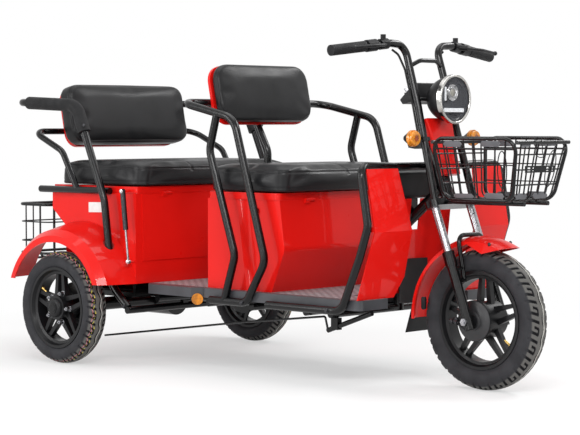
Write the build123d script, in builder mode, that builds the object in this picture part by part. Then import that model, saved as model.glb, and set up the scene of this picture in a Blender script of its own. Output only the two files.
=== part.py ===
from build123d import *
import math
import os

# ---------------------------------------------------------------------------
# Driving dimensions (millimetres). Forward is -Y, the vehicle's right is -X.
# ---------------------------------------------------------------------------
# Wheels
wheelbase = 1476
front_overhang = 222            # front axle to the front of the basket
rear_overhang = 470             # rear axle to the back of the rear basket
front_tyre_diameter = 440
front_tyre_width = 92
front_rim_diameter = 296
rear_tyre_diameter = 388
rear_tyre_width = 90
rear_rim_diameter = 268
rear_track = 936
front_axle_diameter = 14
rear_shaft_diameter = 26

# Fits
running_gap = 0.05              # radial clearance of a shaft in its bore
seat_gap = 0.3                  # between pieces that rest against each other
moving_gap = 5                  # between pieces that move past each other

# Steering
rake = 20.7                     # steering axis from vertical, degrees
fork_offset = 9                 # axle ahead of the steering axis
fork_half_width = 88
stanchion_diameter = 26
slider_diameter = 32
collar_diameter = 38
collar_top = 226                # up the leg from the axle
collar_length = 46
crown_height = 372              # up the leg to the underside of the crown
crown_thickness = 22
stem_diameter = 28
head_tube_diameter = 44
head_tube_top = 574
bridge_thickness = 12
bridge_half = 104
handlebar_tube = 24
riser_half_gap = 82
handlebar_half_width = 388
handlebar_height = 1076
grip_diameter = 34
lamp_radius = 78
lamp_height = 905
lamp_face = 136                 # mouth of the lamp bowl behind the front axle
dash_half_width = 58

# Front fender and brake
fender_radius = 262             # crown of the front fender from its centre
fender_margin = 7               # fender's side outside the tyre
fender_edge = 240
fender_sheet = 2.5
fender_brace = 14
brake_plate_radius = 64
brake_plate_thickness = 12

# Front basket
basket_half_width = 140
basket_back = 114
basket_rim = 790
basket_floor = 590
basket_floor_half_width = 108
basket_floor_front = -184
basket_floor_back = 88
basket_tube = 12
basket_wire = 5

# Tubes of the body
hoop_tube = 26
brace_tube = 22
seat_rail_tube = 24
frame_tube = 34
cross_tube = 24

# Floors and driver's box
floor_top = 285
floor_thickness = 32
floor_half_width = 334
floor_front = 228
rear_floor_half_width = 352
rear_floor_chamfer = 30
panel_wall = 4
seat_box_half_width = 305
seat_box_front = 573            # foremost crease of the driver's box
seat_box_back = 925
seat_box_rim = 583
lid_thickness = 22
seat_top = 691
hinge_knuckle = 10
arch_liner_radius = 254         # from the steering axis

# Rear body
rear_box_half_width = 380
rear_box_reach = 276            # front of the storage box ahead of the rear axle
rear_box_tail = 164             # its back behind the rear axle
rear_box_heel = 91              # where its floor ends behind the rear axle
rear_box_rim = 592
rear_fender_margin = 5          # fender's edge outside the tyre
rear_fender_rim = 228           # arch opening from the wheel's axle
strut_plane = 408
strut_cylinder = 18
strut_rod = 8

front_wheel_radius = front_tyre_diameter / 2
fender_half_width = front_tyre_width / 2 + fender_margin
rear_wheel_radius = rear_tyre_diameter / 2
rear_box_front = wheelbase - rear_box_reach
rear_box_back = wheelbase + rear_box_tail
rear_fender_outer = rear_track / 2 + rear_tyre_width / 2 + rear_fender_margin
overall_length = front_overhang + wheelbase + rear_overhang
front_axle_y = front_overhang - overall_length / 2
lean = math.radians(rake)
driver_hoop_plane = floor_half_width + seat_gap + hoop_tube / 2
seat_rail_plane = rear_box_half_width + seat_gap + seat_rail_tube / 2
rear_hoop_plane = seat_rail_plane + seat_rail_tube / 2 + seat_gap + hoop_tube / 2
SIDES = {"right": -1, "left": 1}
os.makedirs("parts", exist_ok=True)


def back(distance):
    """Y of a point this far behind the front axle."""
    return front_axle_y + distance


def keep(piece, name):
    """Label a finished piece and write it to its own file."""
    piece.part.label = name
    export_step(piece.part, f"parts/{name}.step")


def at(x, point):
    """Point of a side outline, given as (behind the axle, height), in the plane at x."""
    return (x, back(point[0]), point[1])


def aft(*points):
    """Side outline points given from the rear axle instead of the front one."""
    return [(wheelbase + distance, height) for distance, height in points]


def between(start, end, share):
    """Point of a side outline this share of the way from start to end."""
    return tuple(a + (b - a) * share for a, b in zip(start, end))


def bar(route, radii, diameter, mode=Mode.ADD):
    """Add a round bar along straight runs joined by tangent arcs."""
    with BuildLine(mode=Mode.PRIVATE) as path:
        FilletPolyline(*route, radius=radii)
    with BuildSketch(Plane(origin=path.line @ 0, z_dir=path.line % 0), mode=Mode.PRIVATE) as section:
        Circle(diameter / 2)
    sweep(sections=section.sketch, path=path.line, mode=mode)


def straight(start, end, diameter, mode=Mode.ADD):
    """Add a straight round bar between two points."""
    run = Vector(*end) - Vector(*start)
    with BuildSketch(Plane(origin=start, z_dir=run), mode=Mode.PRIVATE) as section:
        Circle(diameter / 2)
    extrude(section.sketch, amount=run.length, dir=run.normalized(), mode=mode)


def crossbar(point, half_length, diameter, mode=Mode.ADD):
    """Add a straight bar across the vehicle through a point of the side outline."""
    straight(at(-half_length, point), at(half_length, point), diameter, mode)


def block(low, high, radius=0, mode=Mode.ADD):
    """Add a box between two corners, its upright edges rounded."""
    size = [b - a for a, b in zip(low, high)]
    with BuildSketch(Plane.XY.offset(low[2]), mode=Mode.PRIVATE) as outline:
        with Locations(((low[0] + high[0]) / 2, (low[1] + high[1]) / 2)):
            if radius:
                RectangleRounded(size[0], size[1], radius)
            else:
                Rectangle(size[0], size[1])
    extrude(outline.sketch, amount=size[2], dir=(0, 0, 1), mode=mode)


def profile(points, low, high, radius=0, mode=Mode.ADD):
    """Add a solid with this side outline of (behind the axle, height) points between two X planes."""
    with BuildSketch(Plane.YZ.offset(low), mode=Mode.PRIVATE) as outline:
        with BuildLine():
            corners = [(back(d), z) for d, z in points]
            if radius:
                FilletPolyline(*corners, radius=radius, close=True)
            else:
                Polyline(*corners, close=True)
        make_face()
    extrude(outline.sketch, amount=high - low, dir=(1, 0, 0), mode=mode)


def both_sides(plane, half):
    """Route of a bent tube that runs up one side of the vehicle, across, and down the other."""
    return [at(-plane, point) for point in half] + [at(plane, point) for point in reversed(half)]


# ---------------------------------------------------------------------------
# Wheels: tyre and alloy rim, turned about their axle
# ---------------------------------------------------------------------------
spoke_count = 5
spoke_half_gap = 17
spoke_root_width = 18
spoke_tip_width = 12
rim_flange = 6
rim_step = 9


def wheel(name, axle_at, tyre_diameter, tyre_width, rim_diameter, shaft, hub_radius, hub_half, dish=0):
    """Write a tyre and a rim of double spokes, centred on axle_at and dished along +X by dish."""
    section_plane = Plane(origin=axle_at, x_dir=(1, 0, 0), z_dir=(0, -1, 0))
    face_plane = Plane(origin=axle_at, x_dir=(0, 1, 0), z_dir=(1, 0, 0))
    turn = Axis(axle_at, (1, 0, 0))
    crown = tyre_diameter / 2
    seat = rim_diameter / 2
    half = tyre_width / 2
    bead = half * 0.72
    shoulder = (half * 0.80, crown - 13)
    bulge = (seat + crown) / 2 - 4
    bead_top = seat + rim_flange + 1
    with BuildPart() as tyre:
        with BuildSketch(section_plane):
            with BuildLine():
                Polyline((-bead, bead_top), (-bead, seat), (bead, seat), (bead, bead_top))
                ThreePointArc((bead, bead_top), (half, bulge), shoulder)
                ThreePointArc(shoulder, (0, crown), (-shoulder[0], shoulder[1]))
                ThreePointArc((-shoulder[0], shoulder[1]), (-half, bulge), (-bead, bead_top))
            make_face()
        revolve(axis=turn)
    keep(tyre, f"{name}_tyre")

    lip = bead + 4
    well = seat - 2 * rim_step
    spoke_length = well + 4 - hub_radius + 10
    with BuildPart() as rim:
        with BuildSketch(section_plane):
            with BuildLine():
                Polyline((-bead, seat + rim_flange), (-lip, seat + rim_flange), (-lip, seat - 3),
                         (-bead + 8, seat - rim_step), (-bead + 11, well), (bead - 11, well),
                         (bead - 8, seat - rim_step), (lip, seat - 3), (lip, seat + rim_flange),
                         (bead, seat + rim_flange), (bead, seat), (-bead, seat), close=True)
            make_face()
        revolve(axis=turn)
        with BuildSketch(face_plane.offset(dish)):
            with PolarLocations(0, spoke_count, start_angle=90):
                for lean_side in (-1, 1):
                    with Locations(Location(((well + 4 + hub_radius - 10) / 2, lean_side * spoke_half_gap),
                                            90 - lean_side * 5)):
                        Trapezoid(spoke_root_width, spoke_length, 90 + math.degrees(
                            math.atan2(spoke_tip_width - spoke_root_width, 2 * spoke_length)), rotation=180)
        extrude(amount=9, both=True)
        with BuildSketch(face_plane):
            Circle(hub_radius)
        extrude(amount=hub_half, both=True)
        with BuildSketch(face_plane):
            Circle(shaft / 2 + running_gap)
        extrude(amount=tyre_width, both=True, mode=Mode.SUBTRACT)
    keep(rim, f"{name}_rim")


front_axle = (0, front_axle_y, front_wheel_radius)
rear_axle_y = back(wheelbase)
front_hub_half = 40
rear_hub_half = 36
wheel("front", front_axle, front_tyre_diameter, front_tyre_width, front_rim_diameter,
      front_axle_diameter, 58, front_hub_half)
for side, sign in SIDES.items():
    wheel(f"rear_{side}", (sign * rear_track / 2, rear_axle_y, rear_wheel_radius), rear_tyre_diameter,
          rear_tyre_width, rear_rim_diameter, rear_shaft_diameter, 42, rear_hub_half, dish=sign * 8)


# ---------------------------------------------------------------------------
# Fork: everything here is laid out along the raked axis
# ---------------------------------------------------------------------------
def on_fork(x, height, ahead=0):
    """Point this far up the fork legs from the axle, and ahead of them."""
    return (x, front_axle_y + height * math.sin(lean) - ahead * math.cos(lean),
            front_wheel_radius + height * math.cos(lean) + ahead * math.sin(lean))


along_fork = (0, math.sin(lean), math.cos(lean))


def fork_plane(height, ahead=0):
    """Plane square to the steering axis; its Y runs backwards from the legs."""
    return Plane(origin=on_fork(0, height, ahead), x_dir=(1, 0, 0), z_dir=along_fork)


# Crown of the fender under the brace: the brace rests on it
fender_centre = (10, front_wheel_radius - 2)
brace_reach = 52                # brace top behind the fender's centre
brace_half_width = fender_half_width + fender_brace / 2 + 2
brace_height = (fender_centre[1] + math.sqrt(fender_radius ** 2 - brace_reach ** 2)
                + fender_brace / 2 + seat_gap)
brace_top = (fender_centre[0] + brace_reach, brace_height)
brace_foot = (34, 338)
with BuildPart() as fork_sliders:
    for x in (-fork_half_width, fork_half_width):
        straight(on_fork(x, -26), on_fork(x, collar_top), slider_diameter)
        straight(on_fork(x, collar_top - collar_length), on_fork(x, collar_top), collar_diameter)
        inner = math.copysign(brace_half_width, x)
        for share in (0.05, 0.3):
            height = brace_foot[1] + (brace_top[1] - brace_foot[1]) * share
            reach = brace_foot[0] + (brace_top[0] - brace_foot[0]) * share
            straight(at(inner, (reach, height)), at(x, (reach + 6, height)), 14)
    bar([at(-brace_half_width, brace_foot), at(-brace_half_width, brace_top), at(brace_half_width, brace_top),
         at(brace_half_width, brace_foot)], 30, fender_brace)
    straight(at(-fork_half_width - 40, (0, front_wheel_radius)),
             at(fork_half_width + 40, (0, front_wheel_radius)),
             front_axle_diameter + 2 * running_gap, mode=Mode.SUBTRACT)
keep(fork_sliders, "fork_sliders")

with BuildPart() as fork_stanchions:
    for x in (-fork_half_width, fork_half_width):
        straight(on_fork(x, collar_top), on_fork(x, crown_height), stanchion_diameter)
keep(fork_stanchions, "fork_stanchions")

# Brake plate beside the hub, with its lever; its boss spaces the hub from the leg
slider_inside = fork_half_width - slider_diameter / 2
plate_inside = front_hub_half + moving_gap
with BuildPart() as front_brake:
    hub_centre = (0, front_wheel_radius)
    straight(at(-plate_inside, hub_centre), at(-plate_inside - brake_plate_thickness, hub_centre),
             2 * brake_plate_radius)
    straight(at(-plate_inside, hub_centre), at(-slider_inside + seat_gap, hub_centre), 40)
    profile([(26, 186), (70, 208), (72, 226), (60, 228), (14, 214)],
            -plate_inside - brake_plate_thickness - 6, -plate_inside - brake_plate_thickness)
    straight(at(-plate_inside, hub_centre), at(-slider_inside, hub_centre),
             front_axle_diameter + 2 * running_gap, mode=Mode.SUBTRACT)
keep(front_brake, "front_brake")

axle_end = fork_half_width + slider_diameter / 2
with BuildPart() as front_axle_bolt:
    crossbar(hub_centre, axle_end + 14, front_axle_diameter)
    straight(at(front_hub_half + moving_gap, hub_centre), at(slider_inside - seat_gap, hub_centre), 30)
    for sign in (-1, 1):
        with BuildSketch(Plane.YZ.offset(sign * (axle_end + seat_gap))):
            with Locations((front_axle_y, front_wheel_radius)):
                RegularPolygon(12, 6)
        extrude(amount=sign * 9)
keep(front_axle_bolt, "front_axle_bolt")

# Crown: a plate across the legs, the steering stem standing on it
carrier_half_gap = 60
carrier_tube = 14
carrier_height = basket_floor + basket_tube / 2 - basket_wire / 2 - seat_gap - carrier_tube / 2
with BuildPart() as fork_crown:
    with BuildSketch(fork_plane(crown_height)):
        RectangleRounded(2 * fork_half_width + 50, 56, 24)
    extrude(amount=crown_thickness)
    straight(on_fork(0, crown_height + 10, -fork_offset),
             on_fork(0, head_tube_top + 26, -fork_offset), stem_diameter)
    for x in (-carrier_half_gap, carrier_half_gap):
        straight(at(x, (126, carrier_height)), at(x, (-192, carrier_height)), carrier_tube)
keep(fork_crown, "fork_crown")

# Handlebar: two risers from the crown, bent out to the grips, tied by a bridge and a crossbar
riser_foot = on_fork(96, crown_height + crown_thickness / 2, 12)
riser_knee = (207, 885)
riser_head = (266, handlebar_height)
bridge_base = head_tube_top + moving_gap
nose_back = 18                  # nose ahead of the fork legs


def grip_end(sign, share=1.0):
    """Point on the swept-back end of the handlebar, share of the way to its tip."""
    tip = Vector(sign * handlebar_half_width, back(292), handlebar_height - 24)
    root = Vector(sign * 150, back(264), handlebar_height + 4)
    return tuple(root + (tip - root) * share)


with BuildPart() as handlebar:
    for sign in (-1, 1):
        bar([(sign * 96, *riser_foot[1:]), at(sign * riser_half_gap, riser_knee),
             at(sign * (riser_half_gap - 4), riser_head), at(sign * 150, (264, handlebar_height + 4)),
             grip_end(sign)], [150, 40, 60], handlebar_tube)
    bar([at(-riser_half_gap, (245, 1008)), at(-40, (234, 1028)), at(40, (234, 1028)),
         at(riser_half_gap, (245, 1008))], [40, 40], 14)
    with BuildSketch(fork_plane(bridge_base)):
        with BuildLine():
            front = -nose_back + seat_gap
            Polyline((-bridge_half, 24), (-bridge_half, -42), (-70, -42), (-66, front), (66, front), (70, -42),
                     (bridge_half, -42), (bridge_half, 24), (60, 36), (-60, 36), close=True)
        make_face()
    extrude(amount=bridge_thickness)
    split(bisect_by=fork_plane(crown_height + crown_thickness + seat_gap), keep=Keep.TOP)
    straight(on_fork(0, bridge_base - 20, -fork_offset), on_fork(0, bridge_base + 40, -fork_offset),
             stem_diameter + 2 * running_gap, mode=Mode.SUBTRACT)
keep(handlebar, "handlebar")

with BuildPart() as handlebar_grips:
    for sign in (-1, 1):
        straight(grip_end(sign, 0.45), grip_end(sign, 1.03), grip_diameter)
        straight(grip_end(sign, 0.2), grip_end(sign), handlebar_tube + 2 * running_gap, mode=Mode.SUBTRACT)
keep(handlebar_grips, "handlebar_grips")

# Hand controls: a lever perch on each side and a switch case on the left
mirror_bore = 8
with BuildPart() as hand_controls:
    perch = Vector(*grip_end(1, 0.125))
    pivot = perch + Vector(22, -34, -4)
    tip = pivot + Vector(150, 4, -12)
    straight(grip_end(1, 0.06), grip_end(1, 0.19), 34)
    straight(tuple(perch), tuple(pivot), 18)
    straight(tuple(perch), tuple(perch + Vector(0, 0, 30)), 17)
    bar([tuple(pivot - Vector(3, -3, 0)), tuple(pivot + Vector(60, -12, -4)), tuple(tip)], 60, 10)
    with Locations(tip):
        Sphere(7.5)
    straight(tuple(perch + Vector(0, 0, 14)), tuple(perch + Vector(0, 0, 40)), mirror_bore, mode=Mode.SUBTRACT)
    straight(grip_end(1, 0.26), grip_end(1, 0.42), 38)
    straight(grip_end(1, -0.02), grip_end(1, 0.6), handlebar_tube + 2 * running_gap, mode=Mode.SUBTRACT)
    mirror(about=Plane.YZ)
keep(hand_controls, "hand_controls")


def riser_at(height):
    """Side outline point of the riser's centre at this height, above its knee."""
    return between(riser_knee, riser_head, (height - riser_knee[1]) / (riser_head[1] - riser_knee[1]))


# Control cables from the levers down the outside of the risers to the bridge
with BuildPart() as control_cables:
    for sign in (-1, 1):
        bar([at(sign * 126, (276, 1060)), at(sign * 99, (274, 1046)), at(sign * 91.4, (253.4, 1000)),
             at(sign * 93.4, (218.4, 885)), at(sign * 97.4, (195.4, 802))], [15, 40, 100], 7)
keep(control_cables, "control_cables")

with BuildPart() as dashboard:
    profile([(232, 902), (238, 962), (302, 904), (290, 890)], -dash_half_width, dash_half_width, 4)
    clear = handlebar_tube / 2 * 1.06 + seat_gap
    low, high = riser_at(906), riser_at(926)
    for sign in (-1, 1):
        ends = sorted((sign * (dash_half_width - 2), sign * (riser_half_gap + 6)))
        profile([(low[0] + clear, low[1]), (high[0] + clear, high[1]), (258, 926), (258, 906)], *ends)
keep(dashboard, "dashboard")

# Headlight: a bowl with a ring and lens set in its mouth, on ears that reach the risers
lamp_plane = Plane(origin=(0, back(lamp_face), lamp_height), x_dir=(1, 0, 0), z_dir=(0, -1, 0))
bowl_depth = 88
with BuildPart() as headlight_bowl:
    with BuildSketch(Plane.YZ):
        with BuildLine():
            mouth = (back(lamp_face), lamp_height + lamp_radius - 5)
            tail = (back(lamp_face + bowl_depth), lamp_height + 14)
            Line((back(lamp_face), lamp_height), mouth)
            ThreePointArc(mouth, (back(lamp_face + bowl_depth * 0.7), lamp_height + 50), tail)
            Polyline(tail, (tail[0], lamp_height), (back(lamp_face), lamp_height))
        make_face()
    revolve(axis=Axis((0, front_axle_y, lamp_height), (0, 1, 0)))
    riser_inside = riser_half_gap - 0.5 - handlebar_tube / 2 - seat_gap
    crossbar(riser_at(lamp_height), riser_inside, 12)
keep(headlight_bowl, "headlight_bowl")

ring_depth = 16
with BuildPart() as headlight_ring:
    with BuildSketch(lamp_plane):
        Circle(lamp_radius)
        Circle(lamp_radius - 9, mode=Mode.SUBTRACT)
    extrude(amount=ring_depth)
    fillet(headlight_ring.faces().sort_by(Axis.Y)[0].edges(), 3.5)
keep(headlight_ring, "headlight_ring")

with BuildPart() as headlight_lens:
    with BuildSketch(lamp_plane):
        Circle(lamp_radius - 9)
    extrude(amount=10)
keep(headlight_lens, "headlight_lens")

# Nose fairing: a shield in front of the head tube that narrows downwards
with BuildPart() as nose_fairing:
    with BuildSketch(fork_plane(652, nose_back + 14)):
        RectangleRounded(132, 28, 9)
    with BuildSketch(fork_plane(468, nose_back + 9)):
        RectangleRounded(84, 18, 7)
    loft()
keep(nose_fairing, "nose_fairing")

signal_height = 783
signal_plane = 150
with BuildPart() as turn_signals:
    for sign in (-1, 1):
        x = sign * signal_plane
        straight(at(x, (156, signal_height)), at(x, (166, signal_height)), 46)
        straight(at(x, (166, signal_height)), at(x, (176, signal_height)), 52)
    fillet(turn_signals.faces().sort_by(Axis.Y)[:2].edges(), 4)
keep(turn_signals, "turn_signals")

with BuildPart() as turn_signal_stalks:
    for sign in (-1, 1):
        with BuildSketch(Plane(origin=at(sign * signal_plane, (176, signal_height)), z_dir=(0, 1, 0))):
            Circle(25)
        with BuildSketch(Plane(origin=at(sign * signal_plane, (202, signal_height)), z_dir=(0, 1, 0))):
            Circle(9)
        loft()
        straight(at(sign * signal_plane, (183, signal_height)),
                 at(sign * (bridge_half + seat_gap), (183, signal_height)), 12)
keep(turn_signal_stalks, "turn_signal_stalks")

# Front fender: an arched sheet over the tyre, with a pointed skirt in front of the fork
fender_tail = math.radians(-2)
fender_arc = 120
skirt_start = 78
skirt_radius = 208


def fender_section(angle, edge):
    """Sketch the fender's section at this angle up from the rear, its sides reaching in to edge."""
    turned = fender_tail + math.radians(angle)
    plane = Plane(origin=at(0, fender_centre), x_dir=(1, 0, 0), z_dir=(0, -math.sin(turned), math.cos(turned)))
    half, crown, shoulder = fender_half_width, fender_radius, fender_radius - 16
    inner = half - fender_sheet
    with BuildSketch(plane) as section:
        with BuildLine():
            ThreePointArc((-half, shoulder), (0, crown), (half, shoulder))
            Polyline((half, shoulder), (half, edge), (inner, edge), (inner, shoulder - fender_sheet))
            ThreePointArc((inner, shoulder - fender_sheet), (0, crown - fender_sheet),
                          (-inner, shoulder - fender_sheet))
            Polyline((-inner, shoulder - fender_sheet), (-inner, edge), (-half, edge), (-half, shoulder))
        make_face()
    return section.sketch


with BuildPart() as front_fender:
    fender_axis = Axis(at(0, fender_centre), (1, 0, 0))
    revolve(fender_section(0, fender_edge - 4), axis=fender_axis, revolution_arc=fender_arc)
    revolve(fender_section(skirt_start, skirt_radius), axis=fender_axis,
            revolution_arc=fender_arc - skirt_start)
    profile([(60, 448), (34, 455), (-23, 428), (-113, 449), (-170, 449), (-170, 360), (60, 360)],
            -fork_half_width, fork_half_width, mode=Mode.SUBTRACT)
keep(front_fender, "front_fender")

flap_front = fender_centre[0] + fender_radius + seat_gap
with BuildPart() as front_mudflap:
    with BuildSketch(Plane.XZ.offset(-back(flap_front))):
        with BuildLine():
            Polyline((-26, 250), (26, 250), (60, 164), (-60, 164), close=True)
        make_face()
    extrude(amount=-3)
keep(front_mudflap, "front_mudflap")

# Front basket: two tapered tube hoops joined by bent wires
hoop_top = basket_rim - basket_tube / 2
hoop_base = basket_floor + basket_tube / 2


def basket_at(height):
    """Half width, front and back of the front basket's wire surface at this height."""
    share = (height - hoop_base) / (hoop_top - hoop_base)
    inset = basket_tube / 2
    return (basket_floor_half_width - inset + share * (basket_half_width - basket_floor_half_width),
            basket_floor_front + inset - share * (front_overhang + basket_floor_front),
            basket_floor_back - inset + share * (basket_back - basket_floor_back))


wire_columns = 6
wire_rows = 7
with BuildPart() as front_basket:
    top_half, top_front, top_back = basket_at(hoop_top)
    low_half, low_front, low_back = basket_at(hoop_base)
    for sign in (-1, 1):
        for top_end, low_end in ((top_front, low_front), (top_back, low_back)):
            bar([at(sign * top_half, (-50, hoop_top)), at(sign * top_half, (top_end, hoop_top)),
                 at(sign * low_half, (low_end, hoop_base)), at(sign * low_half, (-50, hoop_base))],
                40, basket_tube)
    rim_height = hoop_top - 12
    rim_half = basket_at(rim_height)[0]
    crossbar((top_front, rim_height), rim_half, basket_tube)
    crossbar((top_back, rim_height), rim_half, basket_tube)
    for height in (736, 690, 644):
        half, front, rear = basket_at(height)
        crossbar((front, height), half, basket_wire)
        crossbar((rear, height), half, basket_wire)
    for column in range(wire_columns):
        share = (2 * column + 1 - wire_columns) / wire_columns
        top, low = share * top_half, share * low_half
        bar([at(top, (top_front, rim_height)), at(low, (low_front, hoop_base)), at(low, (low_back, hoop_base)),
             at(top, (top_back, rim_height))], 30, basket_wire)
    for row in range(wire_rows):
        share = (row + 1) / (wire_rows + 1)
        top = top_front + share * (top_back - top_front)
        low = low_front + share * (low_back - low_front)
        bar([at(-top_half, (top, hoop_top)), at(-low_half, (low, hoop_base)), at(low_half, (low, hoop_base)),
             at(top_half, (top, hoop_top))], 20, basket_wire)
keep(front_basket, "front_basket")

# ---------------------------------------------------------------------------
# Chassis: neck, down tube, floor rails and cross members
# ---------------------------------------------------------------------------
rail_height = floor_top - floor_thickness - seat_gap - frame_tube / 2
rail_half_gap = 165
neck_low = crown_height + crown_thickness + moving_gap
down_tube_y = 354
spring_eyes = (wheelbase - 260, wheelbase + 200)
rail_end = spring_eyes[1] + 16
spring_half_gap = 215
spring_width = 45
guard_cross = (248, 694)
apron_base = (318, floor_top + seat_gap)
apron_head = (280.4, 589.7)
lug_half, lug_low = 30, 322
hoop_rise = aft((-278, 207), (-198, 275), (-158, 570), (-14, 892), (314, 905))
hoop_foot = hoop_rise[0]
foot_run = (-0.762, -0.648)
foot_bearer = (hoop_foot[0] + foot_run[0] * (cross_tube / 2 + seat_gap),
               hoop_foot[1] + foot_run[1] * (cross_tube / 2 + seat_gap))
with BuildPart() as chassis_frame:
    straight(on_fork(0, neck_low, -fork_offset), on_fork(0, head_tube_top, -fork_offset), head_tube_diameter)
    bar([on_fork(0, 440, -fork_offset - 18), at(0, (down_tube_y, 480)), at(0, (down_tube_y, rail_height - 9))],
        60, frame_tube)
    block((-8, back(200), 668), (8, back(guard_cross[0] - hoop_tube / 2 - seat_gap), 696))
    block((-lug_half, back(apron_base[0]), lug_low), (lug_half, back(down_tube_y), lug_low + 16))
    block((-18, back(290), 520), (18, back(318), apron_head[1]))
    for x in (-rail_half_gap, rail_half_gap):
        straight(at(x, (down_tube_y - 7, rail_height)), at(x, (rail_end, rail_height)), frame_tube)
        block((x - 12, back(foot_bearer[0] - 8), foot_bearer[1] - 4),
              (x + 12, back(foot_bearer[0] + 8), rail_height))
    for y in (down_tube_y, 460, 700, 900, rear_box_front - 50):
        crossbar((y, rail_height), floor_half_width - 6, cross_tube)
    for y in spring_eyes:
        crossbar((y, rail_height), spring_half_gap + 30, cross_tube)
    crossbar(foot_bearer, rear_hoop_plane + hoop_tube / 2, cross_tube)
    for y in (rear_box_front + 44, wheelbase + rear_box_heel - 16):
        block((-340, back(y), rail_height + 3), (340, back(y + 15), floor_top - seat_gap))
    straight(on_fork(0, neck_low - 20, -fork_offset), on_fork(0, head_tube_top + 20, -fork_offset),
             stem_diameter + 2 * running_gap, mode=Mode.SUBTRACT)
keep(chassis_frame, "chassis_frame")

# Rear axle: a tube with a plain drum for its gears and motor, and a brake plate beside each wheel
axle_tube = 46
axle_centre = (wheelbase, rear_wheel_radius)
hub_face = rear_track / 2 - rear_hub_half
with BuildPart() as rear_axle:
    crossbar(axle_centre, hub_face - 10, axle_tube)
    crossbar(axle_centre, rear_track / 2 + rear_hub_half + moving_gap + 9, rear_shaft_diameter)
    straight(at(0, (wheelbase - 72, rear_wheel_radius)), at(0, (wheelbase + 72, rear_wheel_radius)), 112)
    for sign in (-1, 1):
        straight(at(sign * (hub_face - 24), axle_centre), at(sign * (hub_face - 14), axle_centre), 168)
        straight(at(sign * (hub_face - 30), (wheelbase - 60, rear_wheel_radius - 30)),
                 at(sign * (hub_face - 22), (wheelbase - 60, rear_wheel_radius - 30)), 22)
        profile(aft((-26, 80), (-14, 78), (-46, 168), (-70, 168)), *sorted((sign * (hub_face - 30),
                                                                       sign * (hub_face - 36))))
        with BuildSketch(Plane.YZ.offset(sign * (rear_track / 2 + rear_hub_half + moving_gap))):
            with Locations((rear_axle_y, rear_wheel_radius)):
                RegularPolygon(20, 6)
        extrude(amount=sign * 8)
keep(rear_axle, "rear_axle")

# Leaf springs: three leaves on the axle tube, the main leaf rolled round the frame's cross tubes
leaf = 6
leaf_base = rear_wheel_radius + axle_tube / 2 + seat_gap
main_leaf = leaf_base + 2 * leaf
with BuildPart() as leaf_springs:
    for x in (-spring_half_gap, spring_half_gap):
        left, right = x - spring_width / 2, x + spring_width / 2
        for level, reach in enumerate((95, 150)):
            block((left, back(wheelbase - reach), leaf_base + level * leaf),
                  (right, back(wheelbase + reach), leaf_base + (level + 1) * leaf))
        block((left, back(spring_eyes[0]), main_leaf), (right, back(spring_eyes[1]), main_leaf + leaf))
        for y in spring_eyes:
            straight(at(left, (y, rail_height)), at(right, (y, rail_height)), cross_tube + 2 * leaf)
            straight(at(left - 1, (y, rail_height)), at(right + 1, (y, rail_height)),
                     cross_tube + 2 * running_gap, mode=Mode.SUBTRACT)
keep(leaf_springs, "leaf_springs")

with BuildPart() as battery_pack:
    block((-190, back(660), floor_top + panel_wall + seat_gap), (190, back(880), floor_top + 190), 8)
keep(battery_pack, "battery_pack")

# Brake pedal arm and the rod that runs back to the rear axle, under the right of the floor
pedal_plane = -300
with BuildPart() as brake_linkage:
    straight(at(pedal_plane, (389, 181)), at(pedal_plane, (206, 247)), 16)
    bar([at(pedal_plane, (389, 181)), at(pedal_plane, (401, 224)), at(pedal_plane, (779, 178)),
         at(pedal_plane, (wheelbase - 23, 84))], [8, 60], 7)
    block((pedal_plane - 10, back(340), 186),
          (pedal_plane + 10, back(368), rail_height - cross_tube / 2 - seat_gap))
keep(brake_linkage, "brake_linkage")

# Floors
floor_base = floor_top - floor_thickness
front_floor_back = seat_box_back + 3
with BuildPart() as front_floor:
    block((-floor_half_width, back(floor_front), floor_base),
          (floor_half_width, back(front_floor_back), floor_top), 20)
    block((-200, back(200), floor_base), (200, back(375), floor_top), mode=Mode.SUBTRACT)
keep(front_floor, "front_floor")

rear_floor_front = front_floor_back + seat_gap
with BuildPart() as rear_floor:
    with BuildSketch(Plane.XY.offset(floor_base)):
        with BuildLine():
            wide, near, far = rear_floor_half_width, back(rear_floor_front), back(rear_box_front - 2)
            cut = rear_floor_chamfer
            Polyline((-wide, near + cut), (cut - wide, near), (wide - cut, near), (wide, near + cut),
                     (wide, far - cut), (wide - cut, far), (cut - wide, far), (-wide, far - cut), close=True)
        make_face()
    extrude(amount=floor_thickness)
keep(rear_floor, "rear_floor")

with BuildPart() as side_reflectors:
    for sign in (-1, 1):
        half_chamfer = rear_floor_chamfer / 2
        face = Vector(sign * (rear_floor_half_width - half_chamfer), back(rear_floor_front + half_chamfer),
                      floor_base - 6)
        outward = Vector(sign, -1, 0).normalized()
        straight(tuple(face + outward * seat_gap), tuple(face + outward * 8), 38)
keep(side_reflectors, "side_reflectors")

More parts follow.
